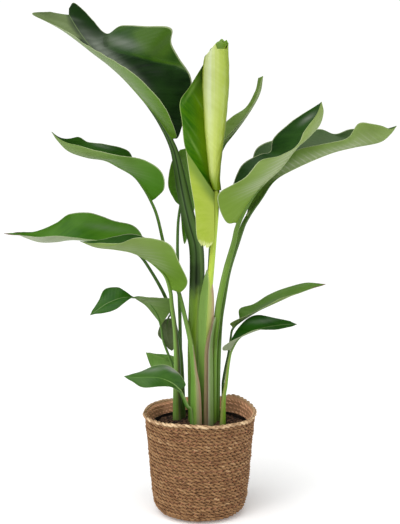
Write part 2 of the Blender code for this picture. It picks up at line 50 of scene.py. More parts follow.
# ---- The plant's lines, in millimetres (x, y, z), as the CAD has them
LEAVES = {
    "top_left": {
        "mid": [(-60, 0, 825), (-97, -4, 882), (-158, -10, 952), (-216, -14, 1004), (-249, -18, 1043),
                (-276, -20, 1086)],
        "near": [(-51, -20, 837), (-75, -75, 896), (-122, -100, 947), (-180, -95, 988), (-230, -80, 1017),
                 (-290, -60, 1054), (-350, -40, 1085), (-314, -30, 1091)],
        "far": [(-44, 25, 838), (-22, 50, 924), (-22, 60, 968), (-62, 65, 1033), (-64, 65, 1070),
                (-118, 60, 1075), (-173, 55, 1075), (-204, 40, 1056), (-230, 20, 1081), (-265, 0, 1113),
                (-276, -15, 1101)],
        "stalk": [(-11, 7, 0), (-11, 7, 295), (-10, 4, 386), (-7, 0, 476), (-7, 0, 586), (-20, 0, 639),
                  (-33, 0, 696), (-48, 0, 771), (-60, 0, 825)],
        "widths": [(11, 9), (13, 9), (15, 9), (16, 10), (17, 10), (16, 9), (15, 9), (12, 8), (7, 5)],
        "side": -1, "rib": 5.0, "columns": 60, "flap": 0.80,
        "crease": [(-214, 1066), (-206, 1020), (-176, 1008), (-146, 1003), (-96, 992), (-55, 986),
                   (-12, 964)]},
    "right_front": {
        "mid": [(80, -8, 646), (108, -14, 696), (135, -20, 731), (171, -28, 765), (200, -34, 803),
                (220, -38, 824), (249, -40, 852), (259, -40, 881), (255, -40, 904)],
        "near": [(56, -30, 650), (38, -48, 692), (44, -60, 717), (94, -72, 745), (125, -75, 781),
                 (167, -72, 791), (205, -66, 814), (218, -58, 841), (244, -50, 876)],
        "far": [(83, 15, 662), (70, 30, 716), (90, 40, 766), (130, 42, 793), (154, 40, 801),
                (162, 36, 832), (204, 20, 868), (250, -15, 899)],
        "stalk": [(29, -8, 0), (30, -8, 271), (31, -8, 361), (37, -8, 431), (43, -8, 477), (57, -8, 543),
                  (75, -8, 609), (80, -8, 646)],
        "widths": [(9, 8), (8, 8), (7, 7), (7, 7), (7, 7), (7, 6), (6.5, 6), (5, 4)],
        "side": 1, "rib": 4.0},
    "right_back": {
        "mid": [(102, 24, 659), (133, 32, 698), (163, 38, 738), (216, 42, 768), (286, 42, 797),
                (337, 40, 810), (393, 36, 821), (416, 34, 838), (429, 32, 856)],
        "near": [(120, 50, 715), (159, 48, 771), (212, 30, 803), (263, 12, 816), (317, 0, 829),
                 (342, 0, 861), (387, 10, 857), (416, 24, 847)],
        "far": [(122, 74, 740), (120, 91, 790), (141, 95, 817), (202, 90, 834), (264, 80, 850),
                (301, 70, 839), (337, 60, 850), (397, 48, 847)],
        "stalk": [(36, 11, 0), (38, 10, 267), (40, 10, 358), (44, 12, 427), (51, 14, 474), (63, 16, 540),
                  (84, 20, 606), (102, 24, 659)],
        "widths": [(9, 8), (8, 7), (7, 7), (7, 7), (7, 7), (6.5, 6), (6, 6), (5, 4)],
        "side": 1, "rib": 4.0},
    "back_right": {
        "mid": [(49, 62, 812), (84, 66, 852), (115, 70, 896), (133, 70, 931), (139, 70, 966)],
        "near": [(57, 50, 830), (88, 50, 865), (117, 55, 906), (130, 58, 939), (137, 64, 961)],
        "far": [(49, 75, 852), (71, 80, 877), (103, 82, 899), (122, 80, 932), (129, 76, 962)],
        "stalk": [(12, 17, 0), (13, 18, 383), (22, 30, 561), (31, 50, 737), (49, 62, 812)],
        "widths": [(6, 6), (5, 5), (4.5, 4.5), (4, 4), (3, 3)],
        "side": 1, "rib": 2.5},
    "left_upper": {
        "mid": [(-104, -5, 694), (-121, -8, 722), (-142, -10, 748), (-174, -12, 767), (-204, -14, 782),
                (-242, -16, 788), (-280, -18, 801), (-303, -20, 823), (-316, -20, 842)],
        "near": [(-92, -25, 703), (-76, -45, 723), (-82, -58, 757), (-117, -62, 782), (-168, -58, 791),
                 (-217, -50, 801), (-263, -40, 814), (-289, -28, 820)],
        "far": [(-118, 10, 717), (-140, 25, 769), (-160, 30, 803), (-214, 30, 817), (-245, 25, 821),
                (-265, 18, 832), (-289, 0, 823)],
        "stalk": [(-8, -24, 0), (-9, -24, 225), (-11, -23, 290), (-15, -20, 345), (-22, -14, 392),
                  (-31, -8, 431), (-46, 0, 491), (-64, 8, 541), (-79, 6, 597), (-91, 0, 652),
                  (-104, -5, 694)],
        "widths": [(10, 7), (10, 7), (10, 7), (10, 6.5), (8, 6), (6, 5), (5, 5), (4.5, 4.5), (4, 4), (3.5, 4),
                   (3, 3)],
        "side": -1, "rib": 3.0},
    "left_long": {
        "mid": [(-146, 26, 584), (-177, 28, 590), (-226, 28, 599), (-276, 26, 608), (-318, 22, 603),
                (-352, 18, 603), (-378, 14, 611), (-405, 10, 622), (-429, 8, 622)],
        "near": [(-154, 10, 596), (-196, 0, 604), (-239, -8, 609), (-299, -14, 618), (-359, -8, 617),
                 (-393, 2, 620)],
        "far": [(-127, 50, 604), (-148, 66, 634), (-198, 72, 647), (-248, 72, 663), (-292, 66, 661),
                (-321, 52, 642), (-363, 32, 625), (-404, 14, 624)],
        "stalk": [(-34, 40, 0), (-41, 45, 309), (-54, 50, 400), (-79, 48, 478), (-122, 36, 556),
                  (-146, 26, 584)],
        "widths": [(7, 7), (6, 6), (5, 5), (4.5, 4.5), (4, 4), (3, 3)],
        "side": -1, "rib": 3.0, "dry_tip": 0.965},
    "left_front": {
        "mid": [(-63, -18, 501), (-74, -24, 532), (-93, -30, 553), (-116, -36, 571), (-146, -42, 586),
                (-182, -46, 593), (-222, -50, 598), (-255, -52, 611)],
        "near": [(-41, -28, 498), (-26, -40, 523), (-42, -62, 563), (-61, -78, 603), (-94, -86, 618),
                 (-136, -86, 620), (-172, -78, 609), (-216, -66, 608)],
        "far": [(-87, -6, 561), (-114, 6, 608), (-147, 8, 621), (-183, 0, 617), (-216, -18, 610),
                (-240, -36, 609)],
        "stalk": [(-46, 22, 0), (-51, 22, 268), (-51, 16, 334), (-55, 6, 408), (-62, -8, 470),
                  (-63, -18, 501)],
        "widths": [(12, 8), (12, 8), (11, 8), (8, 7), (5, 5), (4, 4)],
        "side": -1, "rib": 3.0},
    "left_twisted": {
        "mid": [(-87, 32, 414), (-96, 34, 439), (-112, 34, 462), (-127, 34, 471), (-147, 32, 476),
                (-174, 30, 476), (-205, 28, 465), (-225, 26, 452), (-245, 24, 438)],
        "near": [(-76, 26, 431), (-64, 22, 452), (-64, 20, 475), (-107, 22, 477), (-147, 28, 478),
                 (-186, 18, 453), (-213, 18, 444), (-236, 22, 441)],
        "far": [(-99, 40, 429), (-121, 42, 456), (-143, 38, 472), (-170, 40, 492), (-186, 42, 499),
                (-213, 42, 494), (-226, 36, 470), (-241, 28, 447)],
        "stalk": [(-42, 50, 0), (-46, 50, 235), (-60, 43, 309), (-70, 40, 342), (-83, 36, 380),
                  (-87, 32, 414)],
        "widths": [(4, 4), (4, 4), (3.5, 3.5), (3, 3), (3, 3), (2.5, 2.5)],
        "side": -1, "rib": 2.0},
    "low_front_left": {
        "mid": [(-44, -44, 285), (-61, -50, 302), (-86, -56, 314), (-116, -60, 317), (-142, -60, 317),
                (-164, -58, 319)],
        "near": [(-39, -52, 280), (-60, -66, 297), (-90, -78, 300), (-124, -78, 300), (-148, -68, 311)],
        "far": [(-31, -36, 296), (-48, -34, 322), (-70, -36, 338), (-96, -40, 339), (-126, -48, 328),
                (-147, -54, 323)],
        "stalk": [(-15, -36, 0), (-18, -36, 216), (-28, -40, 248), (-44, -44, 285)],
        "widths": [(3.5, 3.5), (5, 3.5), (4.5, 3), (3.5, 2.5)],
        "side": -1, "rib": 2.5},
    "low_back_left": {
        "mid": [(-55, 56, 319), (-79, 56, 331), (-105, 56, 342), (-123, 56, 347)],
        "near": [(-59, 49, 307), (-86, 47, 308), (-109, 48, 314), (-118, 52, 332)],
        "far": [(-59, 62, 336), (-82, 64, 341), (-101, 62, 343), (-114, 59, 346)],
        "stalk": [(-50, 64, 0), (-52, 62, 260), (-54, 58, 315)],
        "widths": [(3, 3), (2.5, 2.5), (2.5, 2.5)],
        "side": -1, "rib": 2.0},
    "right_small_upper": {
        "mid": [(71, 10, 414), (100, 12, 434), (140, 14, 456), (179, 16, 473), (217, 16, 491),
                (250, 14, 505), (278, 12, 510)],
        "near": [(68, 0, 425), (103, -4, 443), (138, -6, 459), (178, -4, 479), (215, 0, 489), (251, 6, 504)],
        "far": [(87, 26, 427), (89, 34, 450), (123, 40, 461), (157, 40, 483), (196, 34, 500),
                (233, 24, 511), (261, 16, 511)],
        "stalk": [(52, 8, 0), (51, 8, 254), (53, 8, 301), (64, 10, 358), (71, 10, 414)],
        "widths": [(5, 5), (4, 4), (3.5, 3.5), (3, 3), (2.5, 2.5)],
        "side": 1, "rib": 2.0, "dry_tip": 0.97},
    "right_small_lower": {
        "mid": [(68, -20, 368), (83, -22, 393), (103, -24, 407), (135, -26, 418), (176, -26, 425),
                (211, -26, 427)],
        "near": [(50, -30, 370), (52, -40, 383), (82, -48, 403), (120, -52, 420), (162, -46, 418),
                 (191, -36, 422)],
        "far": [(66, -4, 383), (80, 6, 408), (106, 10, 432), (133, 8, 441), (169, -4, 437), (197, -16, 432)],
        "stalk": [(47, -25, 0), (51, -25, 235), (57, -24, 291), (62, -22, 333), (68, -20, 368)],
        "widths": [(9, 6), (9, 6), (7.5, 6), (4, 4), (2.5, 2.5)],
        "side": 1, "rib": 2.0},
    "hanging_small": {
        "mid": [(-72, 58, 426), (-75, 58, 407), (-75, 58, 384), (-70, 58, 366), (-64, 58, 350)],
        "near": [(-86, 52, 418), (-95, 50, 391), (-84, 52, 374), (-73, 55, 357)],
        "far": [(-59, 62, 421), (-52, 64, 397), (-52, 62, 374), (-57, 60, 356)],
        "stalk": [(-56, 56, 0), (-54, 71, 280), (-57, 76, 400), (-66, 70, 432), (-71, 61, 429)],
        "widths": [(3, 3), (3, 3), (2.5, 2.5), (2, 2), (2, 2)],
        "side": 1, "rib": 1.5},
    "back_left": {
        "mid": [(-45, 70, 679), (-43, 76, 714), (-38, 84, 754), (-34, 90, 786), (-29, 95, 808)],
        "near": [(-58, 60, 693), (-71, 56, 722), (-71, 60, 746), (-63, 68, 777), (-45, 84, 804)],
        "far": [(-36, 84, 592), (-23, 95, 634), (-9, 100, 691), (-7, 102, 747), (-16, 100, 792)],
        "stalk": [(-40, 57, 0), (-45, 62, 399), (-50, 62, 546), (-50, 62, 620), (-47, 66, 668)],
        "widths": [(5, 5), (4.5, 4.5), (4, 4), (4, 4), (3, 3)],
        "side": 1, "rib": 2.5},
}
ROLL_PATH = [(36, -30, 718), (31, -33, 745), (30, -34, 790), (31, -35, 850), (32, -35, 915), (32.5, -35, 981),
             (33, -35, 1014), (34, -35, 1024)]
ROLL_RADII = [8, 12.5, 17.5, 22.5, 25.5, 28.5, 28, 25]
ROLL_OVER = 2.2                     # how far the roll's loose outer layer stands out past those radii
OPEN_TOP = 990                      # the opened side leaves the roll below this height
OPEN_BLADE_OUT = [(6, -40, 980), (-22, -44, 935), (-42, -47, 904), (-38, -51, 862), (-30, -52, 803),
                  (0, -48, 752), (27, -42, 708)]
FLAP_LEFT = [(-30, -52, 803), (-21, -54, 740), (-11, -54, 677), (-7, -53, 620), (2, -52, 598)]
FLAP_RIGHT = [(31, -42, 712), (30, -45, 675), (30, -48, 640), (29, -50, 612), (24, -52, 600)]
NEW_STALK = [(5, -8, 0), (6, -8, 264), (7, -10, 344), (11, -12, 422), (20, -18, 501), (28, -24, 589),
             (34, -28, 665), (36, -30, 718)]
NEW_STALK_WIDTHS = [(8, 7), (8, 7), (8, 7), (8, 7), (8, 7), (7, 6), (6, 6), (6, 6)]
FRONT_SHEATH_LEFT = [(-22, -32, 0), (-21, -33, 250), (-19, -31, 330), (-17, -24, 380)]
FRONT_SHEATH_MID = [(-8, -41, 0), (-10, -41, 260), (-13, -37, 330), (-16, -26, 384)]
FRONT_SHEATH_RIGHT = [(6, -34, 0), (3, -35, 250), (-7, -32, 330), (-15, -24, 380)]
INNER_SHEATH_LEFT = [(-5, -13, 0), (-5, -13, 300), (-4, -13, 400), (-2, -16, 470), (7, -21, 520),
                     (14, -23, 545)]
INNER_SHEATH_MID = [(12, -25, 0), (12, -25, 300), (13, -26, 400), (16, -28, 470), (18, -28, 520),
                    (15, -25, 547)]
INNER_SHEATH_RIGHT = [(27, -13, 0), (28, -13, 300), (29, -14, 400), (31, -17, 465), (28, -22, 510),
                      (16, -23, 545)]
SHEATH_MID = [(19, -30, 0), (18, -30, 303), (20, -28, 381), (32, -20, 442)]
SHEATH_NEAR = [(6, -26, 0), (9, -26, 303), (12, -25, 381), (30, -20, 440)]
SHEATH_FAR = [(31, -26, 0), (29, -26, 303), (28, -24, 381), (35, -19, 440)]

BASKET_OUTER = [(76, 0), (94, 9), (102, 22), (105, 40), (110, 88), (115, 154), (119.5, 195), (121.5, 217)]
RIM_RADIUS = 121
SOIL_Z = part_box("soil")[1].z
ROOTED = 6 * MM                     # how far under the soil a stalk or sheath starts


# ---- Lines and meshes
def unit(v):
    return v / np.maximum(np.linalg.norm(v, axis=-1, keepdims=True), 1e-9)


def dense_line(points, scale=MM):
    pts = np.array(points, float) * scale
    pts = np.vstack([2 * pts[0] - pts[1], pts, 2 * pts[-1] - pts[-2]])
    t = np.linspace(0, 1, 32, endpoint=False)[:, None]
    runs = []
    for a, b, c, d in zip(pts[:-3], pts[1:-2], pts[2:-1], pts[3:]):
        runs.append(0.5 * (2 * b + (c - a) * t + (2 * a - 5 * b + 4 * c - d) * t ** 2
                           + (3 * b - a - 3 * c + d) * t ** 3))
    return np.vstack(runs + [pts[-2:-1]])


def run_of(line):
    return np.concatenate([[0], np.cumsum(np.linalg.norm(np.diff(line, axis=0), axis=1))])


def length_of(points):
    return run_of(dense_line(points))[-1]


def relax(line, times):
    """Evens a line out in place, with its ends held."""
    for _ in range(times):
        line[1:-1] = (line[:-2] + line[1:-1] * 2 + line[2:]) / 4


def resample(line, places):
    run = run_of(line)
    return np.stack([np.interp(places, run, line[:, k]) for k in range(line.shape[1])], axis=1)


def smooth_line(points, count, scale=MM):
    line = dense_line(points, scale)
    return resample(line, np.linspace(0, run_of(line)[-1], count))


def rooted_line(points, count):
    """A smooth line through points, from just under the soil, and its length."""
    line = dense_line(points)
    run = run_of(line)
    foot = float(np.interp(SOIL_Z - ROOTED, line[:, 2], run))
    return resample(line, np.linspace(foot, run[-1], count)), run[-1] - foot


def tangents(line):
    return unit(np.gradient(line, axis=0))


def wavy(count, steps, seed):
    """Smooth noise along a line: count values, about -1 to 1, from steps random ones."""
    rng = np.random.default_rng(seed)
    knots = rng.uniform(-1, 1, steps + 3)
    x = np.linspace(1, steps + 1, count)
    i = np.clip(x.astype(int), 1, steps)
    f = x - i
    f = f * f * (3 - 2 * f)
    return knots[i] * (1 - f) + knots[i + 1] * f


def add_object(name, data):
    item = bpy.data.objects.new(name, data)
    bpy.context.scene.collection.objects.link(item)
    return item


def mesh_object(name, verts, faces, attributes=None, smooth=True):
    mesh = bpy.data.meshes.new(name)
    verts = np.asarray(verts, float)
    mesh.from_pydata(verts.tolist(), [], [tuple(int(i) for i in f) for f in faces])
    for key, values in (attributes or {}).items():
        layer = mesh.attributes.new(key, "FLOAT", "POINT")
        layer.data.foreach_set("value", np.asarray(values, np.float32))
    mesh.update()
    if smooth:
        mesh.shade_smooth()
    return add_object(name, mesh)


def face_out(item):
    """Turns an item's faces outwards."""
    bm = bmesh.new()
    bm.from_mesh(item.data)
    bmesh.ops.recalc_face_normals(bm, faces=bm.faces[:])
    bm.to_mesh(item.data)
    bm.free()
    return item


def grid_faces(rows, columns, closed):
    """Quads of a grid of rows x columns points, closed round the columns or not."""
    last = columns if closed else columns - 1
    i, j = np.meshgrid(np.arange(rows - 1), np.arange(last), indexing="ij")
    k = (j + 1) % columns
    quads = np.stack([i * columns + j, i * columns + k, (i + 1) * columns + k, (i + 1) * columns + j], -1)
    return quads.reshape(-1, 4).tolist()


def sheet_faces(rows, columns):
    """Faces of a closed thin sheet: each row runs out along one skin and back along the other."""
    count = 2 * columns
    faces = grid_faces(rows, count, True)
    for first in (0, (rows - 1) * count):
        for j in range(columns - 1):
            quad = [first + j, first + j + 1, first + count - 2 - j, first + count - 1 - j]
            faces.append(quad if first else quad[::-1])
    return faces


def both_skins(front, back):
    """Rows that run out along the front skin and back along the back one."""
    return np.concatenate([front, back[:, ::-1]], axis=1)


def there_and_back(row):
    return np.concatenate([row, row[::-1]])


def lathe_faces(rows, steps):
    """Faces of rows of closed rings, with a face over each end."""
    faces = grid_faces(rows, steps, True)
    faces.append(list(range(steps))[::-1])
    faces.append([(rows - 1) * steps + j for j in range(steps)])
    return faces


def angles(count):
    return np.linspace(0, 2 * math.pi, count, endpoint=False)


def finish_piece(item, nodes, mat):
    item.data.materials.append(mat)
    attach(item, "root")
    if nodes:
        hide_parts(*nodes)
    return item


# ---- Materials
class Paint:
    """A small wrapper that adds and links shader nodes."""

    def __init__(self, name):
        self.mat = bpy.data.materials.new(name)
        self.mat.use_nodes = True
        self.tree = self.mat.node_tree
        self.shader = self.tree.nodes["Principled BSDF"]

    def node(self, kind, inputs=None, **props):
        made = self.tree.nodes.new("ShaderNode" + kind)
        for key, value in props.items():
            setattr(made, key, value)
        for key, value in (inputs or {}).items():
            self.put(made.inputs[key], value)
        return made

    def put(self, socket, value):
        if isinstance(value, bpy.types.NodeSocket):
            self.tree.links.new(value, socket)
        else:
            socket.default_value = value

    def value(self, name):
        return self.node("Attribute", attribute_name=name).outputs["Fac"]

    def math(self, operation, a, b=0.0, clamp=False):
        made = self.node("Math", operation=operation, use_clamp=clamp)
        self.put(made.inputs[0], a)
        self.put(made.inputs[1], b)
        return made.outputs[0]

    def times(self, a, b, clamp=False):
        return self.math("MULTIPLY", a, b, clamp)

    def plus(self, a, b):
        return self.math("ADD", a, b)

    def swayed(self, value, noise, reach):
        """A value moved up and down by a noise, reach from end to end."""
        return self.plus(value, self.times(self.math("SUBTRACT", noise, 0.5), reach))

    def where(self):
        return self.node("TexCoord").outputs["Object"]

    def vector(self, x, y=0.0, z=0.0):
        return self.node("CombineXYZ", {"X": x, "Y": y, "Z": z}).outputs[0]

    def span(self, value, low, high, to_low=0.0, to_high=1.0):
        made = self.node("MapRange", {"Value": value, "From Min": low, "From Max": high, "To Min": to_low,
                                      "To Max": to_high}, interpolation_type="SMOOTHSTEP")
        return made.outputs[0]

    def noise(self, vector, scale, detail=3.0, rough=0.55):
        made = self.node("TexNoise", {"Vector": vector, "Scale": scale, "Detail": detail, "Roughness": rough})
        return made.outputs["Fac"]

    def mix(self, factor, a, b):
        made = self.node("Mix", data_type="RGBA")
        for socket, value in zip((made.inputs[0], made.inputs[6], made.inputs[7]), (factor, a, b)):
            self.put(socket, value if isinstance(value, (float, bpy.types.NodeSocket)) else (*value, 1.0))
        return made.outputs[2]

    def bands(self, value, stops):
        """Colours (place, colour) along a value, each running smoothly into the next."""
        colour = stops[0][1]
        for (low, _), (high, tone) in zip(stops[:-1], stops[1:]):
            colour = self.mix(self.span(value, low, high), colour, tone)
        return colour

    def shaded(self, colour, value, saturation=1.0):
        made = self.node("HueSaturation", {"Value": value, "Saturation": saturation, "Color": colour})
        return made.outputs[0]

    def bump(self, height, strength, distance):
        made = self.node("Bump", {"Height": height, "Strength": strength, "Distance": distance})
        return made.outputs[0]

    def set(self, **inputs):
        names = {"colour": "Base Color", "rough": "Roughness", "normal": "Normal",
                 "specular": "Specular IOR Level"}
        for key, value in inputs.items():
            self.put(self.shader.inputs[names[key]], value)
        return self.mat


# upper dark, upper light, underside at the base, underside at the tip, midrib, bloom by the midrib
LOOKS = {
    "top_left": ((0.003, 0.014, 0.002), (0.013, 0.046, 0.005), (0.085, 0.185, 0.010), (0.20, 0.26, 0.12),
                 (0.20, 0.28, 0.11), 0.2),
    "right_front": ((0.006, 0.030, 0.003), (0.020, 0.070, 0.006), (0.13, 0.22, 0.022), (0.18, 0.25, 0.07),
                    (0.27, 0.34, 0.16), 0.85),
    "right_back": ((0.030, 0.075, 0.015), (0.080, 0.135, 0.045), (0.10, 0.19, 0.025), (0.14, 0.21, 0.045),
                   (0.22, 0.29, 0.12), 0.7),
    "back_right": ((0.110, 0.190, 0.025), (0.170, 0.260, 0.070), (0.15, 0.24, 0.05), (0.20, 0.28, 0.09),
                   (0.20, 0.30, 0.09), 0.3),
    "left_upper": ((0.008, 0.040, 0.002), (0.026, 0.090, 0.006), (0.045, 0.150, 0.002), (0.125, 0.20, 0.045),
                   (0.20, 0.29, 0.10), 0.3),
    "left_long": ((0.026, 0.105, 0.002), (0.060, 0.175, 0.005), (0.10, 0.20, 0.02), (0.28, 0.32, 0.21),
                  (0.24, 0.30, 0.14), 0.5),
    "left_front": ((0.012, 0.045, 0.005), (0.028, 0.090, 0.010), (0.10, 0.20, 0.012), (0.17, 0.25, 0.06),
                   (0.22, 0.30, 0.10), 0.4),
    "left_twisted": ((0.014, 0.075, 0.002), (0.040, 0.125, 0.005), (0.085, 0.155, 0.028), (0.12, 0.17, 0.07),
                     (0.17, 0.25, 0.09), 0.3),
    "low_front_left": ((0.012, 0.055, 0.006), (0.050, 0.125, 0.018), (0.08, 0.16, 0.03), (0.12, 0.20, 0.05),
                       (0.10, 0.20, 0.04), 0.2),
    "low_back_left": ((0.090, 0.200, 0.030), (0.160, 0.270, 0.070), (0.16, 0.27, 0.07), (0.16, 0.27, 0.07),
                      (0.19, 0.29, 0.08), 0.2),
    "right_small_upper": ((0.050, 0.120, 0.012), (0.095, 0.185, 0.030), (0.12, 0.19, 0.035),
                          (0.14, 0.21, 0.045), (0.16, 0.26, 0.06), 0.3),
    "right_small_lower": ((0.005, 0.036, 0.001), (0.016, 0.075, 0.003), (0.19, 0.23, 0.13),
                          (0.15, 0.20, 0.08), (0.16, 0.23, 0.08), 0.6),
    "hanging_small": ((0.085, 0.120, 0.045), (0.140, 0.180, 0.085), (0.13, 0.165, 0.08), (0.15, 0.18, 0.10),
                      (0.16, 0.19, 0.10), 0.3),
    "back_left": ((0.045, 0.145, 0.001), (0.080, 0.200, 0.004), (0.055, 0.165, 0.002), (0.08, 0.19, 0.01),
                  (0.12, 0.22, 0.03), 0.2),
}
# places of painted sheen, a painted reflection, on the upper side: middle (x, z), half length, half width,
# slant in degrees, strength
PAINTED_SHEEN_PLACES = {
    "top_left": [(-212, 1016, 58, 13, -43, 1.0), (-150, 968, 45, 11, -40, 0.6),
                 (-172, 1036, 40, 13, -12, 0.8), (-268, 1078, 14, 4, -10, 0.3)],
    "low_front_left": [(-54, 326, 20, 4.5, -22, 1.6), (-100, 330, 26, 4, 6, 0.5)],
    "right_front": [(232, 871, 18, 5, 38, 0.8), (140, 772, 26, 5, 30, 0.25)],
    "left_front": [(-100, 596, 30, 5, -25, 0.3)],
    "left_upper": [(-215, 812, 22, 4, -14, 0.5)],
    "right_small_upper": [(150, 462, 40, 4, 26, 0.3)],
    "right_small_lower": [(140, 430, 30, 4, 8, 0.3)],
    "left_long": [(-210, 630, 45, 7, -8, 0.3)],
    "leaf_new_open": [(-14, 934, 34, 3, 58, 0.7), (-3, 905, 22, 1.5, -58, 0.5), (-12, 812, 26, 2.5, -62, 0.7),
                      (-20, 850, 30, 1.5, -55, 0.35)],
}
PAINTED_SHEEN_TONE = (0.165, 0.190, 0.150)       # colour of the painted sheen, a painted reflection


def leaf_material(name, look, dry_tip):
    """Waxy upper side with patches and real shine from its lower roughness, a painted sheen (painted
    reflection) at the listed places and the part above a crease painted lighter as lit, paler underside with
    a bloom along its veins, pale midrib and margin, a pale tip flap that is partly the underside's colour and
    partly a painted reflection, and a dry tip from dry_tip on."""
    upper_dark, upper_light, under_base, under_tip, rib, bloom = LOOKS[look]
    p = Paint(name)
    side, across, vein, along = (p.value(k) for k in ("side", "across", "vein", "along"))
    where = p.where()
    lines = p.vector(p.times(vein, 100.0), p.times(across, 0.8), side)
    fine = p.noise(lines, 5.0, 3.0, 0.55)
    broad = p.noise(lines, 0.9, 2.0, 0.5)
    patch = p.noise(where, 11.0, 2.0, 0.5)
    streak = p.span(p.plus(p.times(fine, 0.35), p.times(broad, 0.65)), 0.36, 0.66)
    upper = p.mix(p.times(streak, 0.4), upper_dark, upper_light)
    upper = p.mix(p.span(patch, 0.36, 0.68, 0.0, 0.75), upper, upper_light)
    lit_tone = p.mix(p.span(patch, 0.38, 0.62), (0.012, 0.052, 0.002), (0.050, 0.115, 0.008))
    upper = p.mix(p.times(p.value("lit"), 0.9), upper, lit_tone)
    # painted sheen: a painted reflection mixed in at the listed places, a little weaker between side veins
    fold = p.span(p.math("SINE", p.times(vein, 2 * math.pi / (2 * VEIN_STEP))), -1.0, 1.0, 0.82, 1.0)
    upper = p.mix(p.times(p.value("gloss_and_painted_sheen"), fold, clamp=True), upper, PAINTED_SHEEN_TONE)
    under = p.mix(p.span(along, 0.15, 0.85), under_base, under_tip)
    under = p.mix(p.times(streak, 0.2), under, p.shaded(under, 1.4, 0.9))
    under = p.mix(p.span(patch, 0.4, 0.7, 0.0, 0.5), under, p.shaded(under, 0.72, 1.08))
    lines_on = p.span(p.math("SINE", p.times(vein, 2 * math.pi / (1.6 * VEIN_STEP))), 0.3, 1.0, 0.5, 1.0)
    middle = p.times(p.span(along, 0.16, 0.34), p.span(along, 0.98, 0.7))
    bloomed = p.times(p.times(middle, p.span(across, 0.85, 0.15)), lines_on)
    under = p.mix(p.times(bloomed, bloom), under, (0.30, 0.34, 0.22))
    colour = p.mix(side, under, upper)
    rib_mask = p.span(p.value("rib"), 1.0, 0.35)
    colour = p.mix(p.times(rib_mask, 0.7), colour, rib)
    rim_mask = p.span(across, 0.968, 0.988)
    colour = p.mix(p.times(rim_mask, 0.75), colour, (0.36, 0.42, 0.22))
    # the near half's tip flap is painted pale: partly the underside's own colour, partly a painted reflection
    flap = p.times(p.value("pale"), 0.85)
    colour = p.mix(flap, colour, (0.175, 0.235, 0.095))
    dry = p.span(p.plus(along, p.times(patch, 0.05)), dry_tip + 0.02, dry_tip + 0.045)
    colour = p.mix(dry, colour, (0.13, 0.085, 0.045))
    # real gloss: the upper side is less rough; no painted sheen here
    gloss_and_painted_sheen = p.times(side, -0.14)
    rough = p.plus(gloss_and_painted_sheen, p.plus(0.46, p.times(streak, 0.06)))
    height = p.plus(p.times(fine, 0.5), p.times(p.noise(where, 900.0), 0.1))
    return p.set(colour=colour, rough=rough, normal=p.bump(height, 0.2, 0.0005), specular=0.14)


def stalk_material(name, low, high, change=(0.3, 0.8), painted_shade=0.0):
    """Fleshy stalk, streaked along its length. low and high are bands of colour from its left side to its
    right, near the soil and near the blade, holding painted light and shade (one side lit, the other shaded,
    dark stripes where shade falls) as well as the stalk's own colour; change is where the one gives way to
    the other, and the last argument darkens the stretch just above that as painted shade. The foot is painted
    darker where the stalk meets the soil, as painted shade."""
    p = Paint(name)
    along, around, metres = p.value("along"), p.value("around"), p.value("metres")
    turn = p.times(around, 2 * math.pi)
    cosine, sine = p.math("COSINE", turn), p.math("SINE", turn)
    place = p.math("SUBTRACT", 0.5, p.times(cosine, 0.5))
    lines = p.vector(p.times(metres, 3.0), p.times(cosine, 2.2),
                     p.times(sine, 2.2))
    fine = p.noise(lines, 5.5, 4.0, 0.65)
    broad = p.noise(lines, 1.4, 2.0, 0.5)
    mottle = p.noise(p.where(), 28.0, 3.0, 0.5)
    wander = p.swayed(place, broad, 0.3)
    height = p.swayed(along, mottle, 0.12)
    colour = p.mix(p.span(height, *change), p.bands(wander, low), p.bands(wander, high))
    # painted shade on the stretch just above the change, on the stalk's left and middle
    if painted_shade:
        stretch = p.times(p.span(height, *change), p.span(height, change[1] + 0.12, change[1] + 0.03))
        colour = p.mix(p.times(stretch, p.span(place, 0.85, 0.6)), colour, p.shaded(colour, painted_shade))
    colour = p.mix(p.times(p.span(fine, 0.45, 0.66), 0.5), colour, p.shaded(colour, 0.62))
    colour = p.mix(p.times(p.span(broad, 0.45, 0.75), 0.4), colour, p.shaded(colour, 1.4, 0.9))
    # painted shade where the stalk meets the soil
    colour = p.mix(p.span(metres, 0.03, 0.0, 0.0, 0.7), colour, (0.055, 0.06, 0.022))
    rough = p.span(fine, 0.3, 0.7, 0.36, 0.5)
    return p.set(colour=colour, rough=rough, normal=p.bump(fine, 0.35, 0.0006), specular=0.2)


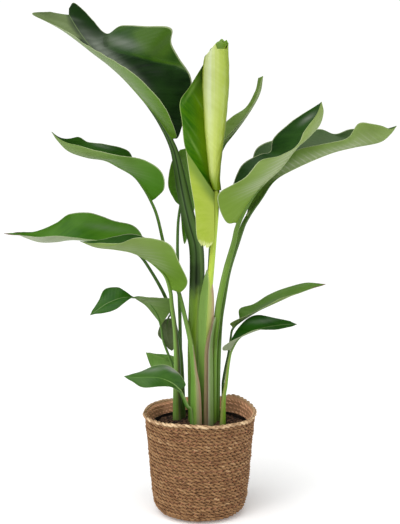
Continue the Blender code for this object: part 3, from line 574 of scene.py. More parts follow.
def grass_material(name, tones, gap_shade_tone, inner_tone, fibre_scale=1.0):
    """Dried seagrass: tones that vary cord by cord and along each cord, with fibres along it, some brightened
    into painted glints; painted shade deep in the gaps between cords, weaker on the inside; inner faces take
    inner_tone, their reddish colour brightened as painted light.
    """
    dark, middle, light = tones
    p = Paint(name)
    shade, metres, around = p.value("shade"), p.value("metres"), p.value("around")
    turn = p.times(around, 2 * math.pi)
    lines = p.vector(p.times(metres, 22.0 * fibre_scale),
                     p.times(p.math("COSINE", turn), 2.6),
                     p.times(p.math("SINE", turn), 2.6))
    moved = p.node("VectorMath", {0: lines, 1: p.vector(p.times(shade, 37.0), shade)},
                   operation="ADD").outputs[0]
    fibre = p.noise(moved, 3.2, 5.0, 0.65)
    slow = p.noise(moved, 0.5, 2.0, 0.5)
    tone = p.plus(p.times(shade, 0.4), p.times(slow, 0.6))
    colour = p.mix(p.span(tone, 0.3, 0.6), dark, middle)
    colour = p.mix(p.span(tone, 0.58, 0.9), colour, light)
    # inner faces painted inner_tone: their reddish colour, brightened as painted light
    colour = p.mix(p.times(p.value("inner"), 0.8), colour, inner_tone)
    colour = p.mix(p.span(fibre, 0.5, 0.66, 0.0, 0.8), colour, p.shaded(colour, 0.45))
    # pale fibres brightened: partly their own pale colour, partly painted glints
    colour = p.mix(p.span(fibre, 0.46, 0.34, 0.0, 0.75), colour, p.shaded(colour, 1.9, 0.8))
    # painted shade deep in the gaps between cords, weaker on the inner faces
    gap = p.times(p.span(p.value("deep"), 0.35, 0.9, 0.0, 0.85), p.span(p.value("inner"), 1.0, 0.0, 0.15))
    colour = p.mix(gap, colour, gap_shade_tone)
    return p.set(colour=colour, rough=0.8, normal=p.bump(fibre, 0.6, 0.001), specular=0.3)


def soil_material():
    p = Paint("potting_soil")
    where = p.where()
    grain = p.noise(where, 260.0, 6.0, 0.7)
    clump = p.noise(where, 55.0, 4.0, 0.6)
    colour = p.mix(p.span(grain, 0.35, 0.7), (0.004, 0.0028, 0.002), (0.035, 0.02, 0.012))
    colour = p.mix(p.span(clump, 0.5, 0.75, 0.0, 0.5), colour, (0.05, 0.03, 0.018))
    height = p.plus(grain, clump)
    return p.set(colour=colour, rough=0.95, normal=p.bump(height, 0.9, 0.002), specular=0.2)


def bark_material():
    p = Paint("bark_pieces")
    where = p.where()
    shade = p.value("shade")
    grain = p.noise(where, 420.0, 5.0, 0.7)
    colour = p.mix(shade, (0.016, 0.009, 0.006), (0.15, 0.075, 0.042))
    colour = p.mix(p.span(grain, 0.5, 0.75, 0.0, 0.6), colour, (0.26, 0.18, 0.13))
    return p.set(colour=colour, rough=0.9, normal=p.bump(grain, 0.8, 0.0015), specular=0.2)


def pot_material():
    p = Paint("pot_black")
    where = p.where()
    grain = p.noise(where, 1500.0, 3.0, 0.5)
    dust = p.noise(where, 30.0, 5.0, 0.6)
    colour = p.mix(p.span(dust, 0.45, 0.8, 0.0, 0.6), (0.007, 0.005, 0.004), (0.030, 0.018, 0.012))
    return p.set(colour=colour, rough=0.85, normal=p.bump(grain, 0.25, 0.0003), specular=0.08)


# ---- Leaves
BLADE = 0.8 * MM                    # thickness of a blade
MARGIN = 0.4 * MM                   # and at its margin
BULGE = 0.06                        # how far a half sags between midrib and margin, as a part of its width
VEIN_STEP = 8 * MM                  # from one side vein to the next
PLEAT = 0.11 * MM                   # height of the pleat at a side vein
VEIN_LEAN = 0.45                    # how far a side vein runs towards the tip, as a part of its length
STATION = 1.8 * MM                  # length of a blade from one row of points to the next
SHEET = 0.7 * MM                    # thickness of the young leaf


def leaf_frame(leaf, count):
    """Midrib, edges and the upward directions of both halves at count stations."""
    base = np.array(leaf["mid"][0], float)
    edges = []
    for key in ("near", "far"):
        first = np.array(leaf[key][0], float)
        edges.append(smooth_line([tuple(base + (first - base) * 0.12)] + leaf[key], count))
    near, far = edges
    mid = smooth_line(leaf["mid"], count)
    along = tangents(mid)
    up_near = unit(np.cross(near - mid, along)) * leaf["side"]
    up_far = unit(np.cross(along, far - mid)) * leaf["side"]
    for ups in (up_near, up_far):   # settles the directions near the base, where the halves are narrow
        relax(ups, 12)
    return mid, near, far, unit(up_near), unit(up_far)


def side_of_line(points, line):
    """Signed distance of points (x, z) from an open line of (x, z), positive on its left as it runs."""
    line = np.array(line, float) * MM
    best = np.full(points.shape[:-1], np.inf)
    sign = np.ones(points.shape[:-1])
    for a, b in zip(line[:-1], line[1:]):
        run = b - a
        t = np.clip(((points - a) @ run) / (run @ run), 0, 1)
        away = points - (a + t[..., None] * run)
        distance = np.linalg.norm(away, axis=-1)
        nearer = distance < best
        best = np.where(nearer, distance, best)
        left = run[0] * (points[..., 1] - a[1]) - run[1] * (points[..., 0] - a[0]) > 0
        sign = np.where(nearer, np.where(left, 1.0, -1.0), sign)
    return best * sign


def smooth(x):
    x = np.clip(x, 0, 1)
    return x * x * (3 - 2 * x)


def painted_sheen_at(points, places):
    """How strongly points take the painted sheen, from the places listed."""
    total = np.zeros(len(points))
    for x, z, length, width, slant, strength in places:
        dx, dz = points[:, 0] / MM - x, points[:, 2] / MM - z
        c, s = math.cos(math.radians(slant)), math.sin(math.radians(slant))
        total += strength * np.exp(-((dx * c + dz * s) / length) ** 2 - ((dz * c - dx * s) / width) ** 2)
    return total


def make_leaf(name, leaf, seed):
    """A blade: two skins from margin to margin, with pleats at its side veins and a fleshy midrib below."""
    length = length_of(leaf["mid"])
    edge_length = max(length_of(leaf[k]) for k in ("near", "far"))
    rows = int(max(length, edge_length) / STATION) + 2
    half = leaf.get("columns", 26)
    mid, near, far, up_near, up_far = leaf_frame(leaf, rows)
    up_mid = unit(up_near + up_far)
    t = np.linspace(0, 1, rows)
    s = np.linspace(0, 1, half + 1) ** 1.35
    rib = leaf["rib"] * MM * (1 - 0.75 * t)
    layers = {key: [] for key in ("top", "low", "across", "vein", "rib", "pale", "lit", "gloss_and_painted_sheen")}
    for k, (edge, ups) in enumerate(((near, up_near), (far, up_far))):
        width = np.linalg.norm(edge - mid, axis=1)
        run = t * length
        slow = wavy(rows, max(4, int(edge_length / 0.045)), seed + 11 * k)
        quick = wavy(rows, max(8, int(edge_length / 0.016)), seed + 11 * k + 5)
        fade = np.clip(np.minimum(t, 1 - t) * 8, 0, 1)
        for q in s:
            place = mid + (edge - mid) * q
            up = unit(up_mid * max(0.0, 1 - q * 6) + ups * min(1.0, q * 6))
            arch = -BULGE * width * 4 * q * (1 - q)
            vein = run + VEIN_LEAN * q * width
            pleat = PLEAT * np.sin(2 * math.pi * vein / VEIN_STEP + 1.3 * np.sin(vein * 40 + seed))
            pleat = pleat * min(1.0, q * 8) * np.clip(width / 0.02, 0, 1) * fade
            ripple = (1.6 * slow + 0.7 * quick) * MM * q ** 2.5 * np.clip(width / 0.03, 0.15, 1) * fade
            centre = place + up * (arch + pleat + ripple)[:, None]
            lit = np.zeros(rows)
            if k and "crease" in leaf:      # the part above the crease lies further back
                away = side_of_line(centre[:, [0, 2]], leaf["crease"])
                lit = smooth((away + 1 * MM) / (5 * MM))
                crest = np.exp(-(away / np.where(away > 0, 5 * MM, 26 * MM)) ** 2)
                back = 15 * MM * smooth((away + 1 * MM) / (12 * MM)) - 9 * MM * crest
                centre[:, 1] += back * min(1, q * 4)
            off = q * width
            swell = rib * np.exp(-(off / (rib * 0.62 + 0.4 * MM)) ** 2)
            groove = 0.35 * rib * np.exp(-(off / (rib * 0.32 + 0.2 * MM)) ** 2)
            thick = (MARGIN + (BLADE - MARGIN) * (1 - q ** 6)) / 2
            layers["top"].append(centre + up * (thick - groove)[:, None])
            layers["low"].append(centre - up * (thick + swell)[:, None])
            layers["across"].append(np.full(rows, q))
            layers["vein"].append(vein + 0.31 * k)
            layers["rib"].append(off / (rib * 0.9 + 0.25 * MM))
            layers["pale"].append(smooth((t - leaf.get("flap", 2.0)) / 0.03) * (1 - k) * min(1.0, q * 5))
            layers["lit"].append(lit)
            layers["gloss_and_painted_sheen"].append(painted_sheen_at(centre, PAINTED_SHEEN_PLACES.get(name, ())))
    order = list(range(half, 0, -1)) + list(range(half + 1, 2 * half + 2))
    ring = {key: np.stack([rows_of[i] for i in order], axis=1) for key, rows_of in layers.items()}
    top, low = ring.pop("top"), ring.pop("low")
    attributes = {key: both_skins(values, values).ravel() for key, values in ring.items()}
    attributes["side"] = both_skins(np.ones(top.shape[:2]), np.zeros(top.shape[:2])).ravel()
    attributes["along"] = np.repeat(t, 2 * len(order))
    item = face_out(mesh_object("leaf_" + name, both_skins(top, low).reshape(-1, 3),
                                sheet_faces(rows, len(order)), attributes))
    mat = leaf_material("leaf_" + name, name, leaf.get("dry_tip", 1.5))
    return finish_piece(item, ["leaf_" + name], mat)


# ---- Stalks
def tube(name, line, wide, deep, sides=28, groove=0.0, groove_turn=0.0, lumps=0.02, seed=0):
    """A closed tube of oval section along a line, with a channel of depth groove down one side."""
    rows = len(line)
    along = tangents(line)
    across = unit(np.cross(along, (0, 1, 0)))
    depth = unit(np.cross(across, along))
    turn = angles(sides)
    swing = (turn - groove_turn + math.pi) % (2 * math.pi) - math.pi
    lips = 0.35 * groove * np.exp(-((np.abs(swing) - 0.8) / 0.3) ** 2)
    shape = 1 - groove * np.exp(-(swing / 0.42) ** 2) + lips
    slow = 1 + lumps * wavy(rows, max(3, rows // 30), seed)
    ring_c, ring_s = np.cos(turn) * shape, np.sin(turn) * shape
    points = (line[:, None] + across[:, None] * (wide * slow)[:, None, None] * ring_c[None, :, None]
              + depth[:, None] * (deep * slow)[:, None, None] * ring_s[None, :, None])
    run = run_of(line)
    attributes = {"along": np.repeat(run / run[-1], sides), "metres": np.repeat(run, sides),
                  "around": np.tile(turn / (2 * math.pi), rows)}
    return face_out(mesh_object(name, points.reshape(-1, 3), lathe_faces(rows, sides), attributes))


def two(left, right):
    return [(0.2, left), (0.75, right)]


def plain(low_left, low_right, high_left, high_right, change=(0.3, 0.8)):
    """Paint for a stalk with a left and a right colour near the soil, and others near the blade; each pair is
    the stalk's own colour with painted light on one side and painted shade on the other.
    """
    return two(low_left, low_right), two(high_left, high_right), change


STALK_PAINT = {     # bands near the soil, bands near the blade, where they change, painted shade above that; the bands hold painted light and shade as well as colour
    "top_left": ([(0.1, (0.075, 0.145, 0.010)), (0.35, (0.085, 0.165, 0.002)), (0.5, (0.120, 0.200, 0.012)),
                  (0.68, (0.150, 0.250, 0.050))],
                 [(0.02, (0.025, 0.060, 0.006)), (0.16, (0.050, 0.110, 0.018)), (0.30, (0.070, 0.125, 0.038)),
                  (0.42, (0.012, 0.030, 0.003)), (0.56, (0.040, 0.090, 0.015)), (0.72, (0.100, 0.180, 0.045)),
                  (0.96, (0.040, 0.090, 0.012))], (0.38, 0.43), 0.45),
    "left_front": ([(0.1, (0.17, 0.31, 0.06)), (0.45, (0.10, 0.19, 0.02)), (0.7, (0.10, 0.12, 0.04)),
                    (0.95, (0.045, 0.10, 0.015))],
                   two((0.13, 0.24, 0.03), (0.09, 0.18, 0.02)), (0.5, 0.8)),
    "right_front": plain((0.17, 0.29, 0.05), (0.12, 0.24, 0.02), (0.12, 0.21, 0.04), (0.08, 0.16, 0.015),
                         (0.4, 0.9)),
    "right_back": plain((0.12, 0.24, 0.02), (0.07, 0.15, 0.015), (0.06, 0.13, 0.015), (0.04, 0.09, 0.01),
                        (0.4, 0.9)),
    "left_upper": plain((0.13, 0.25, 0.03), (0.18, 0.28, 0.06), (0.045, 0.125, 0.010), (0.08, 0.17, 0.02),
                        (0.2, 0.6)),
    "left_long": plain((0.055, 0.12, 0.012), (0.04, 0.10, 0.01), (0.03, 0.085, 0.008), (0.05, 0.12, 0.015)),
    "right_small_upper": plain((0.02, 0.05, 0.006), (0.03, 0.07, 0.01), (0.05, 0.11, 0.015),
                               (0.04, 0.09, 0.01), (0.5, 0.9)),
    "right_small_lower": plain((0.21, 0.25, 0.055), (0.13, 0.27, 0.015), (0.13, 0.22, 0.06),
                               (0.12, 0.22, 0.04), (0.5, 0.9)),
    "new_rolled": plain((0.30, 0.44, 0.06), (0.34, 0.46, 0.09), (0.44, 0.56, 0.06), (0.36, 0.50, 0.05),
                        (0.3, 0.6)),
    "low_front_left": plain(*((0.07, 0.19, 0.02), (0.16, 0.26, 0.07)) * 2),
}
PLAIN_STALK = plain((0.10, 0.20, 0.03), (0.06, 0.14, 0.015), (0.08, 0.18, 0.025), (0.05, 0.12, 0.015))


def stalk_line(path, leaf=None):
    """The stalk's middle line from just under the soil, carried on beneath the blade's midrib."""
    line, stem = rooted_line(path, 160)
    if leaf is None:
        return line, stem
    mid, _, _, up_near, up_far = leaf_frame(leaf, 120)
    reach = 42                      # how many of the midrib's 120 points the stalk's end follows
    up = unit(up_near + up_far)[:reach]
    sink = np.linspace(1.0, 0.55, reach)[:, None] * leaf["rib"] * 0.62 * MM
    joined = np.vstack([line[:-4], (mid[:reach] - up * sink)[3:]])
    relax(joined, 10)
    return joined, stem


def make_stalk(name, path, widths, leaf=None, seed=0, groove=0.0, groove_turn=0.0):
    line, stem = stalk_line(path, leaf)
    total = run_of(line)[-1]
    line = resample(line, np.linspace(0, total, int(total / (3 * MM))))
    run = run_of(line)
    whole = length_of(path)
    knots = np.linspace(0, whole, len(widths)) - (whole - stem)
    tip = 0.9 if leaf else widths[-1][0]
    wide, deep = (np.interp(run, list(knots) + [total], [w[k] for w in widths] + [tip]) * MM for k in (0, 1))
    item = tube("stalk_" + name, line, wide, deep, groove=groove, groove_turn=groove_turn, seed=seed)
    mat = stalk_material("stalk_" + name, *STALK_PAINT.get(name, PLAIN_STALK))
    return finish_piece(item, ["stalk_" + name], mat)


# ---- The youngest leaf: roll, opened side and flap
def roll_material():
    """Bands from the roll's right edge round its front to its left edge: its lime colour with painted shade
    towards both edges and a painted whitish highlight left of its front.
    """
    p = Paint("leaf_roll")
    along, around, metres = p.value("along"), p.value("around"), p.value("metres")
    where = p.where()
    climb = p.math("SUBTRACT", p.times(metres, 30.0), p.times(around, 3.2))
    fine = p.noise(p.vector(climb, p.times(around, 0.6)), 3.5, 3.0, 0.5)
    broad = p.noise(where, 16.0, 2.0, 0.5)
    lines = p.noise(p.vector(p.times(metres, 2.0), p.times(around, 14.0)), 2.0, 2.0, 0.5)
    place = p.swayed(around, lines, 0.12)
    colour = p.bands(place, [(0.30, (0.24, 0.36, 0.07)), (0.42, (0.27, 0.36, 0.04)),
                             (0.50, (0.33, 0.42, 0.06)), (0.58, (0.40, 0.47, 0.13)),
                             (0.66, (0.47, 0.53, 0.28)), (0.735, (0.44, 0.50, 0.20)),
                             (0.80, (0.29, 0.37, 0.03)), (0.86, (0.22, 0.30, 0.02))])
    # towards the foot, other bands with the same painted shade at the edges and a painted highlight
    colour = p.mix(p.span(along, 0.75, 0.25, 0.0, 0.7), colour, p.bands(
        place, [(0.35, (0.22, 0.30, 0.04)), (0.48, (0.34, 0.42, 0.04)), (0.62, (0.44, 0.52, 0.10)),
                (0.80, (0.36, 0.44, 0.05))]))
    colour = p.mix(p.span(fine, 0.4, 0.64, 0.0, 0.25), colour, p.shaded(colour, 1.2, 0.9))
    colour = p.mix(p.span(broad, 0.42, 0.7, 0.0, 0.35), colour, p.shaded(colour, 0.8, 1.1))
    colour = p.mix(p.span(along, 0.16, 0.02), colour, (0.17, 0.27, 0.006))
    colour = p.mix(p.times(p.value("inside"), 0.8), colour, (0.13, 0.26, 0.02))
    return p.set(colour=colour, rough=0.36, normal=p.bump(fine, 0.12, 0.0005), specular=0.28)


def mouth_height(angle):
    """Height of the roll's rim, in radii: slanted on the left, lower in front than behind."""
    across = np.cos(angle)
    front = np.interp(across, (-1, -0.05, 0.03, 0.85, 1), (-1.15, 0.05, -0.42, -0.42, -0.04))
    back = np.interp(across, (-1, 0.1, 0.85, 1), (-1.15, 0.33, 0.33, -0.04))
    back = back + 0.07 * np.sin(angle * 7) + 0.05 * np.sin(angle * 12 + 1)
    return np.where(np.sin(angle) < 0, front, back)


def make_roll():
    """A sheet wound about one and a half times, narrow at its foot, with an open mouth."""
    rows, sides, turns = 190, 130, 1.45
    path = smooth_line(ROLL_PATH, rows)
    part = np.linspace(0, 1, rows)
    radius = (np.interp(part, np.linspace(0, 1, len(ROLL_RADII)), ROLL_RADII) + ROLL_OVER) * MM
    turn = np.linspace(0, turns * 2 * math.pi, sides)
    start = math.radians(120)       # the outer layer leaves the roll at its back left, as the opened side
    layer_gap = np.minimum(2.4 * MM, radius * 0.14)     # narrower where the roll is
    layers = []
    for thickness in (0.0, SHEET):
        angle = start - turn
        inward = layer_gap[:, None] * turn / (2 * math.pi) * 1.6 + thickness
        ripple = 0.2 * MM * np.sin(turn * 9 + part[:, None] * 60)
        reach = radius[:, None] - inward + ripple
        lift = 2 * MM * part[:, None] ** 14 * np.sin(angle * 1.5 + 0.6)
        slope = part[:, None] ** 8 * (radius[:, None] - inward) * mouth_height(angle)
        layers.append(np.stack([path[:, 0:1] + reach * np.cos(angle), path[:, 1:2] + reach * np.sin(angle),
                                path[:, 2:3] + slope + lift], axis=-1))
    around = there_and_back(turn) / (2 * math.pi)
    inside = np.repeat((0.0, 1.0), sides)
    item = mesh_object("leaf_new_roll", both_skins(*layers).reshape(-1, 3), sheet_faces(rows, sides),
                       {"along": np.repeat(part, 2 * sides), "around": np.tile(around, rows),
                        "metres": np.repeat(run_of(path), 2 * sides), "inside": np.tile(inside, rows)})
    face_out(item)
    return finish_piece(item, ["leaf_new_rolled"], roll_material())


def sheet_material(name, dark, light, inner, edge_tone, rough, start, end):
    """Sheet that is dark by its outer edge, inner by the roll, and start and end at its two ends, with a
    painted highlight at its listed places.
    """
    p = Paint(name)
    vein, across, along = p.value("vein"), p.value("across"), p.value("along")
    where = p.where()
    lines = p.vector(p.times(vein, 100.0), across)
    fine = p.noise(lines, 4.0, 3.0, 0.5)
    broad = p.noise(lines, 0.8, 2.0, 0.5)
    patch = p.noise(where, 13.0, 2.0, 0.5)
    streak = p.plus(p.times(fine, 0.3), p.times(broad, 0.7))
    colour = p.mix(p.span(streak, 0.38, 0.64, 0.0, 0.6), dark, light)
    colour = p.mix(p.span(patch, 0.42, 0.66, 0.0, 0.6), colour, light)
    colour = p.mix(p.span(across, 0.75, 0.05, 0.0, 0.85), colour, inner)
    colour = p.mix(p.span(along, 0.32, 0.05, 0.0, 0.85), colour, start)
    colour = p.mix(p.span(p.plus(along, p.times(fine, 0.06)), 0.93, 1.0), colour, end)
    # painted sheen: a painted highlight mixed in at the listed places
    colour = p.mix(p.times(p.value("gloss_and_painted_sheen"), 1.0, clamp=True), colour, (0.18, 0.32, 0.06))
    colour = p.mix(p.span(across, 0.965, 0.99, 0.0, 0.7), colour, edge_tone)
    return p.set(colour=colour, rough=rough, normal=p.bump(fine, 0.2, 0.0005), specular=0.2)


def make_sheet(name, left, right, arch, mat, lean, ragged=0.0, curl=0.0):
    """A thin sheet from a right-hand line (across 0) to a left-hand one (across 1)."""
    rows, columns = 150, 46
    a, b = smooth_line(left, rows), smooth_line(right, rows)
    part = np.linspace(0, 1, rows)
    s = np.linspace(0, 1, columns)
    width = np.linalg.norm(a - b, axis=1)
    length = run_of(b)[-1]
    skins = []
    vein = part[:, None] * length + lean * s[None, :] * width[:, None]
    for offset in (0.0, SHEET):
        grid = b[:, None] + (a - b)[:, None] * s[None, :, None]
        pleat = PLEAT * np.sin(2 * math.pi * vein / VEIN_STEP)
        ripple = 1.5 * MM * wavy(rows, 9, 71)[:, None] * s[None, :] ** 3
        bow = -arch * 4 * s * (1 - s) - curl * s ** 4
        grid[:, :, 1] += pleat + ripple + bow[None, :] + offset
        if ragged:
            drop = wavy(columns, 14, 5) * 0.6 + wavy(columns, 30, 9) * 0.4
            grid[:, :, 2] += ragged * drop[None, :] * (part ** 6)[:, None]
        skins.append(grid)
    points = both_skins(*skins).reshape(-1, 3)
    item = mesh_object(name, points, sheet_faces(rows, columns),
                       {"across": np.tile(there_and_back(s), rows), "vein": both_skins(vein, vein).ravel(),
                        "along": np.repeat(part, 2 * columns),
                        "gloss_and_painted_sheen": painted_sheen_at(points, PAINTED_SHEEN_PLACES.get(name, ()))})
    face_out(item)
    return finish_piece(item, [], mat)


def make_new_leaf():
    """The youngest leaf: its roll, the side that has opened, the flap that hangs from it, and the stalk."""
    make_roll()
    # the opened side leaves the roll's back left, whose middle and radius give its inner line
    inner = [(x - 0.45 * r, y + 0.78 * r, z) for (x, y, z), r in zip(ROLL_PATH, ROLL_RADII)][::-1]
    inner = [point for point in inner if point[2] < OPEN_TOP]
    open_mat = sheet_material("leaf_new_open", (0.018, 0.105, 0.001), (0.075, 0.200, 0.001),
                              (0.150, 0.260, 0.004), (0.30, 0.40, 0.12), 0.3, (0.10, 0.20, 0.02),
                              (0.17, 0.26, 0.004))
    make_sheet("leaf_new_open", OPEN_BLADE_OUT, inner, -6 * MM, open_mat, 0.9, curl=2 * MM)
    flap_mat = sheet_material("leaf_new_flap", (0.27, 0.36, 0.03), (0.33, 0.41, 0.06), (0.29, 0.37, 0.04),
                              (0.45, 0.52, 0.28), 0.45, (0.13, 0.215, 0.03), (0.50, 0.57, 0.20))
    make_sheet("leaf_new_flap", FLAP_LEFT, FLAP_RIGHT, 4 * MM, flap_mat, -0.6, ragged=7 * MM)
    make_stalk("new_rolled", NEW_STALK, NEW_STALK_WIDTHS, seed=3)


# ---- Sheaths at the clump
def sheath_material(name, stops):
    """Bands of colour across the sheath, with dry streaks along it."""
    p = Paint(name)
    across, metres, along = p.value("across"), p.value("metres"), p.value("along")
    lines = p.vector(p.times(metres, 5.0), p.times(across, 5.0))
    fine = p.noise(lines, 6.0, 5.0, 0.65)
    place = p.swayed(across, fine, 0.22)
    colour = p.bands(place, stops)
    colour = p.mix(p.times(p.span(fine, 0.5, 0.7), 0.5), colour, p.shaded(colour, 0.65))
    colour = p.mix(p.span(along, 0.9, 1.0, 0.0, 0.5), colour, p.shaded(colour, 1.7, 0.7))
    # painted shade where the sheath meets the soil
    colour = p.mix(p.span(metres, 0.035, 0.0, 0.0, 0.6), colour, (0.08, 0.06, 0.035))
    return p.set(colour=colour, rough=0.55, normal=p.bump(fine, 0.5, 0.0008), specular=0.3)


def make_sheath(name, nodes, near_line, mid_line, far_line, mat, curl=1.5 * MM):
    """A thin sheath that bows through its middle line, from its near edge to its far one."""
    rows, half = 150, 14
    near, mid, far = (rooted_line(points, rows)[0] for points in (near_line, mid_line, far_line))
    part = np.linspace(0, 1, rows)
    s = np.linspace(0, 1, 2 * half + 1)
    grid = []
    for q in s:
        blend = (1 - q) * near + q * far
        bow = 4 * q * (1 - q)
        place = blend * (1 - bow) + mid * bow
        lip = curl * (abs(q - 0.5) * 2) ** 8 * (0.4 + 0.6 * wavy(rows, 7, int(q > 0.5) + 3))
        place = place + np.array((0, -1.0, 0)) * (lip + 0.2 * MM * math.sin(q * 60))[:, None]
        grid.append(place)
    front = np.stack(grid, axis=1)
    back = front + np.array((0, 0.9 * MM, 0))
    count = 2 * len(s)
    item = mesh_object(name, both_skins(front, back).reshape(-1, 3), sheet_faces(rows, len(s)),
                       {"across": np.tile(there_and_back(s), rows), "metres": np.repeat(run_of(mid), count),
                        "along": np.repeat(part, count)})
    face_out(item)
    return finish_piece(item, nodes, mat)


# ---- Basket
ROW_PITCH = 7.4 * MM
STRAND = 2.15 * MM                  # radius of one strand of the two-strand cord
TWIST_RADIUS = 1.95 * MM            # how far each strand's middle is from the cord's
TWIST_LENGTH = 25 * MM              # one full turn of the twist
CROWN = 1.8 * MM                    # how far a strand's crown stands out of the CAD's smooth wall
LIFT = 11 * MM                      # how far the rim is bent up at the back right
LIFT_ANGLE = math.radians(52)
LOWEST, PRESSED = -3.3 * MM, 7 * MM     # lowest point of a round cord at the base, and where pressing ends


def edge_lift(theta, height):
    """How much the top of the basket is bent up at an angle round it, fading down the wall."""
    swing = (theta - LIFT_ANGLE + math.pi) % (2 * math.pi) - math.pi
    reach = np.where(swing > 0, 0.34, 0.55)
    lump = LIFT * np.exp(-(swing / reach) ** 2)
    wave = 1.1 * MM * np.sin(theta * 3 + 0.6) + 0.7 * MM * np.sin(theta * 7 + 2)
    return (lump + wave) * np.clip((height - 0.12) / 0.1, 0, 1.1) ** 2


def cord_ring(radius, height, index, strand, phase, rng, size, twist_radius, twist_length, sides=8):
    """One strand of a two-strand cord laid in a ring: its points, its faces and the values of KEYS."""
    twists = max(3, round(2 * math.pi * radius / twist_length))
    steps = max(24, twists * 14)
    theta = angles(steps)           # the first strand and the second lie half a turn apart
    twist = -theta * twists + phase + math.pi * strand + (
        1.1 * np.sin(theta * 4 + index * 1.9) + 0.6 * np.sin(theta * 11 + index * 3.1))
    waver_r = 0.35 * MM * np.sin(theta * 3 + index * 1.7) + 0.25 * MM * np.sin(theta * 11 + index)
    waver_z = 0.8 * MM * np.sin(theta * 3 + index * 2.3) + 0.4 * MM * np.sin(theta * 8 + index * 0.6)
    r = radius + waver_r + twist_radius * np.cos(twist)
    z = height + waver_z + twist_radius * 0.9 * np.sin(twist) + edge_lift(theta, height)
    line = np.stack([r * np.cos(theta), r * np.sin(theta), z], axis=1)
    along = unit(np.roll(line, -1, axis=0) - np.roll(line, 1, axis=0))
    radial = np.stack([np.cos(theta), np.sin(theta), np.zeros(steps)], axis=1)
    up = unit(np.cross(radial, along))
    out = unit(np.cross(along, up))
    turn = angles(sides)
    girth = size * (1 + 0.10 * np.sin(theta * 13 + index) + 0.07 * rng.uniform(-1, 1, steps))
    sideways = out[:, None] * np.cos(turn)[None, :, None]
    upwards = up[:, None] * 1.1 * np.sin(turn)[None, :, None]
    points = line[:, None] + girth[:, None, None] * (sideways + upwards)
    # the lowest cords are pressed flat on the floor
    pressed = np.interp(points[..., 2], (LOWEST, PRESSED), (0.1 * MM, PRESSED))
    points[..., 2] = np.maximum(points[..., 2], pressed)
    i, j = np.meshgrid(np.arange(steps), np.arange(sides), indexing="ij")
    k, n = (j + 1) % sides, (i + 1) % steps
    faces = np.stack([i * sides + j, n * sides + j, n * sides + k, i * sides + k], -1).reshape(-1, 4)
    metres, rounds = np.repeat(theta * radius, sides), np.tile(turn / (2 * math.pi), steps)
    offset = np.hypot(points[..., 0], points[..., 1]) - radius - waver_r[:, None]
    reach = twist_radius + size
    # deep: how far into the wall a point lies, which the material darkens as painted shade in the gaps
    deep = np.clip(1 - np.abs(offset) / reach, 0, 1)
    inner = (offset < 0).astype(float)
    shade = rng.uniform(0, 1) * 0.3 + 0.35 + np.repeat(
        0.45 * wavy(steps, twists * 2, 100 + index * 2 + strand), sides)
    return points.reshape(-1, 3), faces, metres, rounds, deep.ravel(), shade, inner.ravel()


KEYS = ("metres", "around", "deep", "shade", "inner")


def join_cords(name, places, rng, *cord):
    """Rings of cord in one mesh. cord is a strand's radius, the twist's radius and the twist's length."""
    verts, faces, attributes = [], [], {key: [] for key in KEYS}
    start = 0
    for index, (radius, height) in places:
        phase = rng.uniform(0, 2 * math.pi)
        for strand in (0, 1):
            made = cord_ring(radius, height, index, strand, phase, rng, *cord)
            verts.append(made[0])
            faces.append(made[1] + start)
            start += len(made[0])
            for key, values in zip(KEYS, made[2:]):
                attributes[key].append(values)
    return face_out(mesh_object(name, np.vstack(verts), np.vstack(faces).tolist(),
                                {key: np.concatenate(values) for key, values in attributes.items()}))


def wall_places():
    """Middles of the cord rings, from the middle of the bottom out and up the wall, by arc length."""
    inset = TWIST_RADIUS + STRAND - CROWN
    outline = np.array([(4, 0)] + BASKET_OUTER, float) * MM
    outline = np.stack([np.interp(np.linspace(0, run_of(outline)[-1], 400), run_of(outline), outline[:, k])
                        for k in (0, 1)], axis=1)
    relax(outline, 60)
    along = tangents(outline)
    inward = np.stack([-along[:, 1], along[:, 0]], axis=1)
    line = outline + inward * inset
    run = run_of(line)
    count = int(run[-1] / ROW_PITCH)
    places = np.linspace(ROW_PITCH * 0.5, run[-1], count)
    return [(float(np.interp(p, run, line[:, 0])), float(np.interp(p, run, line[:, 1]))) for p in places]


def lathe(name, outline, steps, values=None, lifted=False):
    """A turned body from its outline of (radius, height) points, with one value for each attribute."""
    theta = angles(steps)
    outline = np.array(outline, float)
    heights = np.repeat(outline[:, 1:2], steps, axis=1)
    if lifted:
        heights = heights + edge_lift(theta[None, :], heights)
    radii = outline[:, None, 0]
    points = np.stack([radii * np.cos(theta), radii * np.sin(theta), heights], axis=-1)
    attributes = {key: np.full(len(outline) * steps, value) for key, value in (values or {}).items()}
    return face_out(mesh_object(name, points.reshape(-1, 3), lathe_faces(len(outline), steps), attributes))


